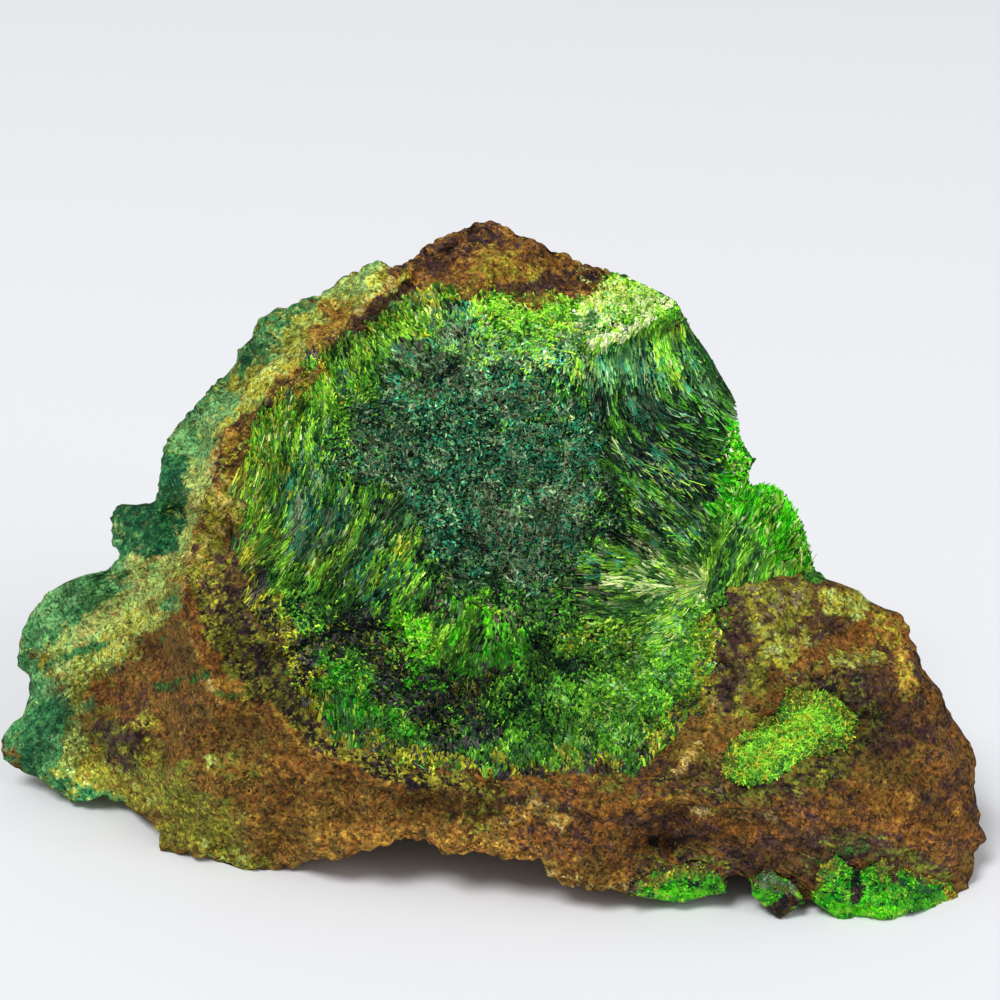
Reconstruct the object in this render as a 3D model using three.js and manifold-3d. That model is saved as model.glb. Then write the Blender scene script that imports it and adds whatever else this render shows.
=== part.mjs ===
// Cuprosklodowskite specimen: a loose hand piece of brown iron-stained host rock that carries a
// broad mat of green needle crystals on its face, a small crystal patch on the right shoulder
// and three crystal crusts along the lower right edge. It stands on its own worn feet and
// leans back a little.
import * as THREE from 'three';
import { mergeVertices } from 'three/addons/utils/BufferGeometryUtils.js';
import Module from 'manifold-3d';

// Driving dimensions, in millimetres and degrees
const FACE_WIDTH = 64;
const LEAN_BACK = 22;
const VIEW_DISTANCE = 181;
const BED_MARGIN = 0.5;
const EDGE_ROUNDING = 0.8;
const BACK_PANEL_SHARE = 0.86;
const SIDE_RUGGEDNESS = 0.022;
const CALM_FACE = 0.35;
const RAGGED_POWER = 5;
const LEAST_WALL = 4.5;
const UNDERSIDE_RISE = 1.3;
const FOOT_DROP = 2.6;
const LUMP_HEIGHT = 0.45;
const BACK_LUMP_HEIGHT = 0.9;
const BLADE_WIDTH = 1.15;
const BLADE_LEAST_TILT = 13;
const BLADE_SUNK_SHARE = 0.3;
const BLADE_FOOT_DEPTH = 0.5;
const BLADE_FOOT_SHARE = 0.84;
const BLADE_TIP_SHARE = 0.93;
const CUT_CLEARANCE = 7;
const FLOOR_BOX = 200;

// Where the turned stone comes to stand, so that the middle of its footprint is the origin
const REST = { x: 1.38, y: -3.33, z: 23.75 };

// Meshing of the stone: squares across a panel, rings of them inside the face break, side rows
const PANEL_SQUARES = 28;
const FACE_RINGS = 10;
const SIDE_ROWS = 5;

// The face is drawn in face points, x to the right and y down, 980 of them across it
const MM_PER_POINT = FACE_WIDTH / 980;
const FACE_MIDDLE = { x: 500, y: 500 };
const STAR_CENTRE = [500, 560];
const FOOT_REACH = { x: 46, y: 26 };
const MAT_OVAL = { x: 490, y: 535, halfWidth: 250, halfHeight: 250 };

// Outline of the stone as seen on its face, clockwise from the peak
const OUTLINE = [
  [490, 219], [515, 230], [547, 241], [572, 259], [594, 265], [617, 274], [639, 283], [658, 292],
  [675, 302], [691, 332], [706, 352], [719, 375], [732, 396], [733, 421], [743, 447], [753, 461],
  [748, 469], [747, 489], [776, 488], [795, 514], [806, 541], [813, 570], [834, 583], [854, 590],
  [879, 603], [898, 608], [912, 634], [923, 666], [946, 694], [956, 724], [977, 751], [978, 783],
  [982, 827], [988, 835], [977, 851], [969, 888], [943, 904], [906, 912], [888, 919], [865, 914],
  [840, 918], [816, 903], [803, 903], [780, 917], [769, 908], [752, 893], [749, 878], [740, 875],
  [729, 882], [726, 892], [705, 895], [682, 901], [645, 896], [611, 892], [597, 896], [560, 883],
  [547, 872], [544, 858], [501, 854], [474, 851], [447, 855], [426, 840], [410, 838], [394, 841],
  [367, 852], [348, 858], [321, 861], [296, 864], [270, 873], [240, 872], [204, 860], [188, 854],
  [161, 853], [158, 835], [139, 816], [99, 796], [88, 808], [72, 808], [56, 792], [21, 777],
  [0, 761], [0, 738], [20, 716], [31, 694], [29, 675], [17, 665], [21, 638], [40, 603],
  [54, 587], [80, 575], [103, 570], [118, 560], [120, 548], [111, 543], [109, 530], [115, 503],
  [147, 503], [158, 492], [157, 485], [160, 472], [166, 440], [180, 416], [200, 396], [208, 385],
  [228, 368], [234, 346], [245, 340], [252, 329], [260, 315], [271, 310], [286, 309], [296, 301],
  [319, 293], [328, 285], [347, 274], [375, 258], [397, 264], [421, 255], [433, 244], [449, 233],
  [476, 221],
];

// Line where the face breaks: the raised rim on the left, the ledge along the base, the turn
// of the right shoulder and the crest at the top
const RIM_RIDGE = [
  [391, 283], [345, 325], [317, 361], [269, 400], [221, 444], [208, 505], [186, 584],
  [195, 641], [220, 702], [278, 716], [319, 757], [347, 762], [395, 787], [475, 794],
];
const BASE_LEDGE = [[521, 797], [580, 806], [640, 803], [700, 800], [780, 812]];
const SHOULDER_TURN = [
  [850, 825], [900, 800], [940, 760], [930, 700], [890, 640], [830, 600], [800, 560],
  [775, 510], [740, 480], [735, 450], [722, 400], [690, 345],
];
const CREST = [[672, 308], [640, 320], [600, 338], [560, 333]];
const FACE_BREAK = [...RIM_RIDGE, ...BASE_LEDGE, ...SHOULDER_TURN, ...CREST, [500, 300], [440, 290]];
const LOBE_RIDGE = [[677, 771], [705, 736], [716, 700]];
const FACE_CRACK = [[269, 659], [345, 632], [400, 628]];
const LEFT_VEIN = [[40, 665], [102, 646]];
const PEAK_CRACK = [[405, 290], [440, 262], [470, 235]];

// Raised and sunk lines of the face: height in millimetres, reach in face points
const LINES = [
  { line: RIM_RIDGE, height: 0.8, reach: 11 },
  { line: BASE_LEDGE, height: 0.8, reach: 11 },
  { line: CREST, height: 0.7, reach: 10 },
  { line: LOBE_RIDGE, height: 0.6, reach: 8 },
  { line: FACE_CRACK, height: -0.5, reach: 6 },
  { line: LEFT_VEIN, height: -0.7, reach: 8 },
  { line: PEAK_CRACK, height: -0.8, reach: 8 },
];

// Round lumps and pits of the face: place in face points, height in millimetres, reach
const LUMPS = [
  { x: 655, y: 842, height: -2.4, reach: 26 },
  { x: 135, y: 527, height: 1.6, reach: 26 },
  { x: 60, y: 640, height: 1.2, reach: 34 },
  { x: 52, y: 735, height: 1.4, reach: 36 },
  { x: 540, y: 255, height: 1.0, reach: 30 },
  { x: 455, y: 262, height: 0.9, reach: 26 },
  { x: 600, y: 850, height: 1.2, reach: 32 },
  { x: 880, y: 690, height: 1.1, reach: 34 },
  { x: 930, y: 800, height: 1.0, reach: 30 },
  { x: 770, y: 640, height: 0.9, reach: 30 },
  { x: 855, y: 880, height: -1.0, reach: 18 },
  { x: 370, y: 690, height: -0.8, reach: 34 },
];

// Height of the face in front of the dark middle of the crystal mat, in millimetres
const FACE_DEPTHS = [
  [500, 480, -0.6], [400, 420, 0], [600, 420, -0.3], [350, 520, 0.3], [450, 600, -0.2],
  [560, 600, -0.6], [650, 500, 0.2], [300, 450, 0.8], [260, 560, 1], [240, 640, 1.2],
  [330, 700, 0.6], [420, 720, 0.3], [520, 720, 0.2], [620, 720, 0.6], [690, 680, 0.8],
  [700, 420, -0.8], [735, 430, -1.8], [750, 470, -2], [715, 530, -0.3], [770, 530, -1.5],
  [805, 560, -3], [450, 330, 0], [520, 330, 0.3], [580, 345, 1.2], [600, 335, 1.8],
  [640, 318, 2], [672, 306, 1.2], [617, 285, -2.5], [645, 292, -2], [660, 350, 0.8],
  [490, 232, -7.5], [440, 258, -6], [550, 255, -6.4], [500, 270, -4.2], [400, 285, -3],
  [600, 275, -3.8], [450, 300, -1.8], [530, 302, -1.4], [375, 295, -0.4], [317, 361, 1.4],
  [269, 400, 1.7], [221, 444, 1.8], [208, 505, 1.9], [186, 584, 2.2], [195, 641, 2.4],
  [220, 702, 2.6], [278, 716, 2.6], [319, 757, 2.8], [395, 787, 3.2], [475, 794, 3.6],
];
const LEFT_SIDE_DEPTHS = [
  [340, 290, -4], [280, 325, -4.6], [235, 370, -5.4], [190, 440, -6.4], [175, 520, -6.6],
  [155, 570, -7], [128, 530, -9], [110, 600, -9], [50, 630, -10.5], [28, 700, -11.5],
  [14, 760, -11.5], [85, 770, -9.8], [85, 690, -8.6], [145, 650, -4.4], [145, 740, -3.8],
  [100, 800, -9], [200, 760, 0.4], [250, 805, 0.4], [215, 850, -2.6], [270, 862, -2],
  [160, 845, -4.4], [330, 825, 2], [400, 818, 3.2],
];
const BASE_DEPTHS = [
  [480, 825, 4], [560, 835, 4.4], [640, 812, 5], [700, 806, 5.2], [640, 872, 4], [720, 866, 4],
  [690, 893, 3], [760, 620, 0.5], [820, 612, -0.8], [880, 620, -2.2], [780, 680, 2.2],
  [860, 690, 1.6], [915, 705, -0.6], [940, 760, 0.4], [900, 800, 2.6], [820, 822, 4.4],
  [760, 845, 4.8], [860, 868, 4.2], [935, 860, 2], [978, 825, -1.2], [962, 740, -2.4],
  [895, 905, 3.4], [780, 902, 3.4], [960, 890, 0.6],
];
const FRONT_DEPTHS = [...FACE_DEPTHS, ...LEFT_SIDE_DEPTHS, ...BASE_DEPTHS];

// Height of the rough back, seen through the stone from its face
const BACK_DEPTHS = [
  [490, 250, -12], [400, 300, -13.5], [600, 300, -11.5], [500, 360, -16], [300, 380, -14],
  [690, 380, -10.5], [640, 470, -15], [230, 470, -16], [400, 480, -20], [540, 540, -21.5],
  [740, 520, -11], [140, 580, -16], [60, 680, -17], [180, 700, -19], [330, 640, -20],
  [450, 700, -23], [620, 680, -22.5], [760, 660, -17], [850, 640, -11], [920, 720, -10],
  [820, 760, -18.5], [940, 830, -9], [300, 780, -21], [680, 780, -21],
];

// Feet on the underside, in face points
const FEET = [[262, 850], [100, 766], [860, 895], [650, 752], [420, 756]];

// The crystal mat and the smaller crusts, each drawn round a middle point
const MAT = {
  middle: STAR_CENTRE,
  rim: [
    [385, 304], [430, 293], [480, 297], [540, 300], [588, 292], [616, 273], [639, 282],
    [658, 291], [676, 301], [692, 331], [707, 351], [720, 374], [733, 396], [734, 421],
    [744, 446], [755, 461], [749, 470], [748, 488], [777, 487], [796, 513], [807, 541],
    [812, 571], [786, 580], [756, 584], [727, 592], [722, 615], [721, 645], [716, 678],
    [700, 712], [678, 740], [655, 762], [620, 780], [590, 786], [560, 785], [530, 785],
    [500, 782], [465, 779], [430, 775], [404, 767], [380, 758], [357, 751], [335, 742],
    [314, 725], [300, 705], [291, 680], [284, 650], [272, 628], [256, 610], [243, 588],
    [234, 560], [234, 530], [236, 505], [233, 480], [237, 450], [252, 424], [272, 406],
    [292, 388], [312, 367], [330, 348], [348, 330], [365, 314],
  ],
  thickness: 3,
  edge: 1.2,
  topShares: [0, 0.18, 0.36, 0.54, 0.7, 0.84, 0.95, 1],
  underShares: [1, 0.8, 0.45, 0],
};
const PATCH = {
  middle: [786, 733],
  rim: [
    [787, 687], [814, 689], [839, 697], [857, 712], [855, 730], [844, 746], [826, 754],
    [806, 759], [774, 781], [739, 784], [720, 776], [724, 751], [740, 737], [757, 724],
    [779, 714],
  ],
  thickness: 1.2,
  edge: 0.6,
  topShares: [0, 0.4, 0.75, 1],
  underShares: [1, 0.5, 0],
};
const EDGE_LEFT = {
  middle: [684, 883],
  rim: [
    [628, 893], [640, 878], [665, 866], [700, 862], [720, 872], [727, 893], [705, 896],
    [682, 903], [645, 898],
  ],
  thickness: 1.3,
  edge: 0.8,
  topShares: [0, 0.5, 0.85, 1],
  underShares: [1, 0.5, 0],
};
const EDGE_MIDDLE = {
  middle: [774, 892],
  rim: [
    [751, 879], [770, 871], [788, 880], [800, 893], [803, 904], [780, 919], [768, 910],
    [752, 895],
  ],
  thickness: 1.3,
  edge: 0.8,
  topShares: [0, 0.5, 0.85, 1],
  underShares: [1, 0.5, 0],
};
const EDGE_RIGHT = {
  middle: [880, 893],
  rim: [
    [814, 902], [812, 880], [822, 862], [836, 856], [852, 868], [872, 866], [888, 852],
    [906, 868], [928, 876], [952, 884], [958, 898], [943, 906], [906, 914], [888, 921],
    [865, 916], [840, 920],
  ],
  thickness: 1.3,
  edge: 0.8,
  topShares: [0, 0.5, 0.85, 1],
  underShares: [1, 0.5, 0],
};

// Sprays of long blades: where each starts, which way it opens and how far its blades stand
const MAT_SPRAYS = [
  { x: 625, y: 300, aim: -68, spread: 66, near: 36, far: 116, count: 14, length: 4.8 },
  { x: 588, y: 408, aim: -40, spread: 32, near: 48, far: 124, count: 7, length: 6.2 },
  { x: 700, y: 592, aim: 165, spread: 116, near: 22, far: 90, count: 11, length: 4.6 },
  { x: 706, y: 590, aim: 70, spread: 60, near: 16, far: 50, count: 6, length: 3.8 },
  { x: 418, y: 680, aim: 62, spread: 56, near: 14, far: 66, count: 9, length: 4.4 },
  { x: 330, y: 610, aim: 60, spread: 34, near: 12, far: 116, count: 8, length: 4.8 },
  { x: 275, y: 510, aim: 93, spread: 56, near: 6, far: 66, count: 6, length: 4 },
  { x: 275, y: 610, aim: 48, spread: 40, near: 10, far: 60, count: 5, length: 4 },
  { x: 560, y: 680, aim: -90, spread: 110, near: 14, far: 60, count: 10, length: 4 },
  { x: 380, y: 690, aim: -84, spread: 70, near: 4, far: 40, count: 5, length: 3.6 },
  { x: 480, y: 330, aim: -92, spread: 150, near: 10, far: 44, count: 8, length: 3.6 },
];
const PATCH_SPRAYS = [
  { x: 775, y: 748, aim: 40, spread: 150, near: 4, far: 30, count: 9, length: 2 },
];
const EDGE_LEFT_SPRAYS = [
  { x: 686, y: 872, aim: -90, spread: 120, near: 2, far: 12, count: 5, length: 1.3 },
];
const EDGE_RIGHT_SPRAYS = [
  { x: 880, y: 868, aim: -90, spread: 150, near: 6, far: 30, count: 7, length: 1.4 },
];

const wasm = await Module();
wasm.setup();

const STAND = new THREE.Matrix4()
  .makeTranslation(REST.x, REST.y, REST.z)
  .multiply(new THREE.Matrix4().makeRotationX(THREE.MathUtils.degToRad(90 - LEAN_BACK)));
const LEAN_COS = Math.cos(THREE.MathUtils.degToRad(LEAN_BACK));
const LEAN_SIN = Math.sin(THREE.MathUtils.degToRad(LEAN_BACK));

// A closed three.js geometry as a solid that can be joined and cut
function solidFrom(geometry) {
  geometry.deleteAttribute('normal');
  geometry.deleteAttribute('uv');
  const merged = mergeVertices(geometry, 1e-5);
  return new wasm.Manifold(new wasm.Mesh({
    numProp: 3,
    vertProperties: new Float32Array(merged.attributes.position.array),
    triVerts: new Uint32Array(merged.index.array),
  }));
}

// A joined or cut solid back as a three.js geometry with flat shading
function geometryFrom(solid) {
  const mesh = solid.getMesh();
  const geometry = new THREE.BufferGeometry();
  geometry.setAttribute('position', new THREE.BufferAttribute(mesh.vertProperties, 3));
  geometry.setIndex(new THREE.BufferAttribute(mesh.triVerts, 1));
  geometry.computeVertexNormals();
  return geometry;
}

// Face point and height above the face, before the stone is stood up. What is nearer is drawn
// smaller in millimetres, so that the outline holds from the viewing distance.
function onFace(x, y, depth) {
  const scale = MM_PER_POINT * (1 - depth / VIEW_DISTANCE);
  return new THREE.Vector3((x - FACE_MIDDLE.x) * scale, (FACE_MIDDLE.y - y) * scale, depth);
}

// Value at a place, from marks that count more the nearer they are
function blendMarks(marks, x, y) {
  const softness = 15;
  let total = 0;
  let sum = 0;
  for (const [markX, markY, value] of marks) {
    const weight = ((x - markX) ** 2 + (y - markY) ** 2 + softness ** 2) ** -2;
    total += weight;
    sum += weight * value;
  }
  return sum / total;
}

// Shortest distance from a place to a line of several points
function distanceToLine(line, x, y) {
  let nearest = Infinity;
  for (let index = 1; index < line.length; index += 1) {
    const [startX, startY] = line[index - 1];
    const [endX, endY] = line[index];
    const runX = endX - startX;
    const runY = endY - startY;
    const along = ((x - startX) * runX + (y - startY) * runY) / (runX ** 2 + runY ** 2);
    const share = THREE.MathUtils.clamp(along, 0, 1);
    nearest = Math.min(nearest, Math.hypot(x - startX - share * runX, y - startY - share * runY));
  }
  return nearest;
}

// Rolling unevenness of broken rock, from two crossed waves that bend each other
function unevenness(x, y) {
  const broad = Math.sin(x / 22 + 2 * Math.sin(y / 41)) * Math.sin(y / 26 + 1.7 * Math.sin(x / 37));
  const small = Math.sin(x / 11 - y / 17) * Math.sin(y / 10 + x / 29);
  return broad + 0.5 * small;
}

// Height of the front of the stone at a face point, calmer where the crystal mat lies
function frontDepth(x, y) {
  const fromMat = Math.hypot(
    (x - MAT_OVAL.x) / MAT_OVAL.halfWidth,
    (y - MAT_OVAL.y) / MAT_OVAL.halfHeight,
  );
  const calm = THREE.MathUtils.lerp(CALM_FACE, 1, THREE.MathUtils.smoothstep(fromMat, 0.85, 1.15));
  let depth = blendMarks(FRONT_DEPTHS, x, y) + calm * LUMP_HEIGHT * unevenness(x, y);
  for (const { line, height, reach } of LINES) {
    depth += height * Math.exp(-((distanceToLine(line, x, y) / reach) ** 2));
  }
  for (const lump of LUMPS) {
    depth += lump.height * Math.exp(-((x - lump.x) ** 2 + (y - lump.y) ** 2) / lump.reach ** 2);
  }
  return depth;
}

// Height of the underside above the ground: an arch, lower at the feet
function undersideRise(x, y) {
  let rise = UNDERSIDE_RISE + 0.5 * Math.sin(x / 31) * Math.sin(y / 19);
  for (const [footX, footY] of FEET) {
    const reach = ((x - footX) / FOOT_REACH.x) ** 2 + ((y - footY) / FOOT_REACH.y) ** 2;
    rise -= FOOT_DROP * Math.exp(-reach);
  }
  return rise;
}

// Height of the back of the stone: no lower than the underside and clear of the front edge
function backDepth(x, y, edgeDepth) {
  const rough = blendMarks(BACK_DEPTHS, x, y) + BACK_LUMP_HEIGHT * unevenness(x + 300, y);
  const dropPerPoint = MM_PER_POINT * (FACE_MIDDLE.y - y) * LEAN_COS;
  const lowest = (undersideRise(x, y) - REST.z - dropPerPoint)
    / (LEAN_SIN - dropPerPoint / VIEW_DISTANCE);
  return Math.min(Math.max(rough, lowest), edgeDepth - LEAST_WALL);
}

// Distance from the middle to a closed line in a given direction
function radiusAlong(middle, closedLine, directionX, directionY) {
  for (let index = 0; index < closedLine.length; index += 1) {
    const [startX, startY] = closedLine[index];
    const [endX, endY] = closedLine[(index + 1) % closedLine.length];
    const runX = endX - startX;
    const runY = endY - startY;
    const cross = directionX * runY - directionY * runX;
    const toStartX = startX - middle[0];
    const toStartY = startY - middle[1];
    const radius = (toStartX * runY - toStartY * runX) / cross;
    const share = (toStartX * directionY - toStartY * directionX) / cross;
    if (radius > 0 && share >= 0 && share < 1) {
      return radius;
    }
  }
  throw new Error('the line does not close round its middle');
}

// A sphere whose meridians run to the points of a rim and whose rows lie at the given levels
function starSolid(rayCount, levels, place) {
  const geometry = new THREE.SphereGeometry(1, rayCount, levels.length - 1);
  const position = geometry.attributes.position;
  let vertex = 0;
  for (const level of levels) {
    for (let ray = 0; ray <= rayCount; ray += 1) {
      const spot = place(ray % rayCount, level).applyMatrix4(STAND);
      position.setXYZ(vertex, spot.x, spot.y, spot.z);
      vertex += 1;
    }
  }
  return solidFrom(geometry);
}

// Radius of the outline in a direction, and its even course without the small bays
function outlineRadii(angle) {
  const radiusAt = (turned) => radiusAlong(STAR_CENTRE, OUTLINE, Math.cos(turned), -Math.sin(turned));
  const offsets = [-0.15, -0.1, -0.05, 0, 0.05, 0.1, 0.15];
  const even = offsets.reduce((sum, offset) => sum + radiusAt(angle + offset), 0) / offsets.length;
  return { ragged: radiusAt(angle), even };
}

// Place on the stone for a point of a box: the front panel is the face, the back panel the back
// and the four narrow sides are the edge. The square panel is drawn out to a disc, ring by ring,
// and the disc to the outline, so that one ring lies along the face break.
function placeOnStone(boxX, boxY, boxZ) {
  const ring = Math.max(Math.abs(boxX), Math.abs(boxY));
  const upright = Math.abs(boxY) > Math.abs(boxX);
  const lean = ring === 0 ? 0 : (Math.PI / 4) * (upright ? boxX / boxY : boxY / boxX);
  const turn = upright ? Math.PI / 2 - lean : lean;
  const opposite = (upright ? boxY : boxX) < 0 ? Math.PI : 0;
  const angle = turn + opposite;
  const { ragged, even } = outlineRadii(angle);
  const towards = (radius) => [
    STAR_CENTRE[0] + radius * Math.cos(angle),
    STAR_CENTRE[1] - radius * Math.sin(angle),
  ];
  const edgeDepth = frontDepth(...towards(ragged)) - EDGE_ROUNDING;
  if (boxZ === 1 && ring < 1) {
    const breakRing = (2 * FACE_RINGS) / PANEL_SQUARES;
    const faceBreak = radiusAlong(STAR_CENTRE, FACE_BREAK, Math.cos(angle), -Math.sin(angle));
    const breakRadius = Math.min(faceBreak, 0.96 * ragged);
    const border = THREE.MathUtils.clamp((ring - breakRing) / (1 - breakRing), 0, 1);
    const inner = Math.min(ring / breakRing, 1) * breakRadius;
    const [x, y] = towards(inner + border * (ragged - breakRadius));
    return onFace(x, y, frontDepth(x, y));
  }
  if (boxZ === -1) {
    const radius = THREE.MathUtils.lerp(even, ragged, ring ** RAGGED_POWER);
    const [x, y] = towards(BACK_PANEL_SHARE * ring * radius);
    return onFace(x, y, backDepth(x, y, edgeDepth));
  }
  const backward = (1 - boxZ) / 2;
  const rearDepth = backDepth(...towards(BACK_PANEL_SHARE * ragged), edgeDepth);
  const depth = THREE.MathUtils.lerp(edgeDepth, rearDepth, backward ** 1.3);
  const uneven = unevenness(60 * angle, 14 * depth) - 1;
  const rugged = SIDE_RUGGEDNESS * Math.sin(Math.PI * backward) * uneven;
  const [x, y] = towards(ragged * (1 + rugged - (1 - BACK_PANEL_SHARE) * backward ** 2));
  return onFace(x, y, depth);
}

// The whole stone, drawn out of a box with many squares on its panels
function stoneSolid() {
  const geometry = new THREE.BoxGeometry(2, 2, 2, PANEL_SQUARES, PANEL_SQUARES, SIDE_ROWS);
  const position = geometry.attributes.position;
  const whole = (value, steps) => Math.round((value * steps) / 2) * (2 / steps);
  for (let vertex = 0; vertex < position.count; vertex += 1) {
    const spot = placeOnStone(
      whole(position.getX(vertex), PANEL_SQUARES),
      whole(position.getY(vertex), PANEL_SQUARES),
      position.getZ(vertex),
    ).applyMatrix4(STAND);
    position.setXYZ(vertex, spot.x, spot.y, spot.z);
  }
  return solidFrom(geometry);
}

// A crystal crust: its top follows the face, its underside lies deeper towards the middle.
// With a margin it is the cutter of its own bed, wider, deeper and raised clear of the face.
function crustSolid(crust, margin = 0, raised = 0) {
  const rim = [...crust.rim].reverse();
  const brim = margin > 0 ? [{ share: 1, brim: 2 * margin }] : [];
  const levels = [
    ...crust.topShares.map((share) => ({ share, brim: 0, lift: raised })),
    ...brim.map((level) => ({ ...level, lift: raised })),
    ...brim,
    ...crust.underShares.map((share) => ({ share, brim: 0 })),
  ];
  return starSolid(rim.length, levels, (ray, level) => {
    const runX = rim[ray][0] - crust.middle[0];
    const runY = rim[ray][1] - crust.middle[1];
    const x = crust.middle[0] + level.share * runX;
    const y = crust.middle[1] + level.share * runY;
    const thickness = THREE.MathUtils.lerp(crust.edge, crust.thickness, 1 - level.share ** 4);
    const depth = frontDepth(x, y) + (level.lift ?? -thickness - margin);
    const outward = level.brim / MM_PER_POINT / Math.hypot(runX, runY);
    return onFace(x + outward * runX, y + outward * runY, depth);
  });
}

// One flat three-sided blade with a blunt tip, its foot sunk in the crust
function bladeSolid(x, y, aim, tilt, length, turn) {
  const aimAngle = THREE.MathUtils.degToRad(aim);
  const tiltAngle = THREE.MathUtils.degToRad(tilt);
  const direction = new THREE.Vector3(
    Math.cos(aimAngle) * Math.cos(tiltAngle),
    Math.sin(aimAngle) * Math.cos(tiltAngle),
    Math.sin(tiltAngle),
  );
  const geometry = new THREE.CylinderGeometry(BLADE_WIDTH * 0.16, BLADE_WIDTH * 0.5, length, 3);
  geometry.scale(1, 1, 0.6);
  geometry.rotateY(turn);
  geometry.translate(0, length * (0.5 - BLADE_SUNK_SHARE), 0);
  geometry.applyQuaternion(
    new THREE.Quaternion().setFromUnitVectors(new THREE.Vector3(0, 1, 0), direction),
  );
  const foot = onFace(x, y, frontDepth(x, y) - BLADE_FOOT_DEPTH);
  geometry.translate(foot.x, foot.y, foot.z);
  geometry.applyMatrix4(STAND);
  return solidFrom(geometry);
}

// How far out a place lies in a crust: 0 at its middle, 1 on its rim
function shareOfRim(crust, x, y) {
  const runX = x - crust.middle[0];
  const runY = y - crust.middle[1];
  return 1 / radiusAlong(crust.middle, crust.rim, runX, runY);
}

// The blades of every spray that stand within the rim, fanned about the spray's aim and stepped
// outwards in turn
function withBlades(crust, sprays) {
  let grown = crustSolid(crust);
  for (const spray of sprays) {
    for (let index = 0; index < spray.count; index += 1) {
      const across = (index + 0.5) / spray.count - 0.5;
      const outward = (index * 0.618) % 1;
      const aim = spray.aim + spray.spread * across;
      const radius = THREE.MathUtils.lerp(spray.near, spray.far, outward);
      const x = spray.x + radius * Math.cos(THREE.MathUtils.degToRad(aim));
      const y = spray.y - radius * Math.sin(THREE.MathUtils.degToRad(aim));
      const tilt = BLADE_LEAST_TILT + 9 * ((index * 0.382) % 1);
      const length = spray.length * (0.8 + 0.4 * outward);
      const tipReach = length * (1 - BLADE_SUNK_SHARE) / MM_PER_POINT;
      const tipX = x + tipReach * Math.cos(THREE.MathUtils.degToRad(aim));
      const tipY = y - tipReach * Math.sin(THREE.MathUtils.degToRad(aim));
      const footInside = shareOfRim(crust, x, y) < BLADE_FOOT_SHARE;
      if (footInside && shareOfRim(crust, tipX, tipY) < BLADE_TIP_SHARE) {
        grown = grown.add(bladeSolid(x, y, aim, tilt, length, index * 1.1));
      }
    }
  }
  return grown;
}

// Everything above the ground that the stone stands on
function aboveGround() {
  const geometry = new THREE.BoxGeometry(FLOOR_BOX, FLOOR_BOX, FLOOR_BOX);
  geometry.translate(0, 0, FLOOR_BOX / 2);
  return solidFrom(geometry);
}

// One named piece of the specimen with its own finish
function piece(name, solid, color, roughness) {
  const material = new THREE.MeshStandardMaterial({ color, roughness, metalness: 0, flatShading: true });
  const mesh = new THREE.Mesh(geometryFrom(solid), material);
  mesh.name = name;
  return mesh;
}

const ground = aboveGround();
let rock = stoneSolid();
for (const crust of [MAT, PATCH, EDGE_LEFT, EDGE_MIDDLE, EDGE_RIGHT]) {
  rock = rock.subtract(crustSolid(crust, BED_MARGIN, CUT_CLEARANCE));
}

// What stands above the ground of a solid, as a named piece
function standing(name, solid, color, roughness) {
  return piece(name, solid.intersect(ground), color, roughness);
}

const group = new THREE.Group();
group.add(
  standing('matrix', rock, 0x6f5326, 0.9),
  standing('crystal_mat', withBlades(MAT, MAT_SPRAYS), 0x2f7a1c, 0.5),
  standing('shoulder_patch', withBlades(PATCH, PATCH_SPRAYS), 0x7fb52a, 0.5),
  standing('edge_crust_left', withBlades(EDGE_LEFT, EDGE_LEFT_SPRAYS), 0x3f9a1c, 0.5),
  standing('edge_crust_middle', crustSolid(EDGE_MIDDLE), 0x3f9a1c, 0.5),
  standing('edge_crust_right', withBlades(EDGE_RIGHT, EDGE_RIGHT_SPRAYS), 0x3f9a1c, 0.5),
);

export default group;
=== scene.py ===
"""Cuprosklodowskite specimen, dressed for its renders.

A hand piece of brown iron-stained host rock that carries a broad mat of green needle crystals, a
small crystal patch on its right shoulder and three crystal crusts along its lower right edge.
Places, x to the right and y down, are given in face points, 980 of them across the face, with a
height towards the front in millimetres. The relief repeats the formulas of the solid model, so
that every piece lies on the solids that it stands for.
"""
import logging
import math
from dataclasses import dataclass
from enum import Enum

import bpy
import numpy as np
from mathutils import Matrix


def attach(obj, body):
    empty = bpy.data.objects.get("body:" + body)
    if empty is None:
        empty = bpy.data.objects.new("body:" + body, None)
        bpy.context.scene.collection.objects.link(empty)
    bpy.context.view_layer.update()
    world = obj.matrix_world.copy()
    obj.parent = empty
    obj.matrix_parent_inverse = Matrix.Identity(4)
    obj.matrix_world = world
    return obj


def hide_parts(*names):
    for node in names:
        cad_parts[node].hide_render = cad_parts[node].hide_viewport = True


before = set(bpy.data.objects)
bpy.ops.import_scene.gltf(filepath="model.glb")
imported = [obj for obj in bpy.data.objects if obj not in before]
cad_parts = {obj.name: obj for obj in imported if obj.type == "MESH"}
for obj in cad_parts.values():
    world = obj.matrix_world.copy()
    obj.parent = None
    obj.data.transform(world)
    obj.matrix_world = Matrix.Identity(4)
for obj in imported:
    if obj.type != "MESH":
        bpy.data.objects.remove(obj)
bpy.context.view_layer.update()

Array = np.ndarray
Points = tuple[tuple[float, ...], ...]
log = logging.getLogger("specimen")

MM = 0.001
FACE_SCALE = 64 / 980
VIEW_DISTANCE = 181.0
VIEW_WIDTH = 1000
VIEW_MIDDLE = 500
LEAN = math.radians(22)
REST = (1.38, -3.33, 23.75)
STAR_CENTRE = (500, 560)
PATCH_MIDDLE = (786, 733)

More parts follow.
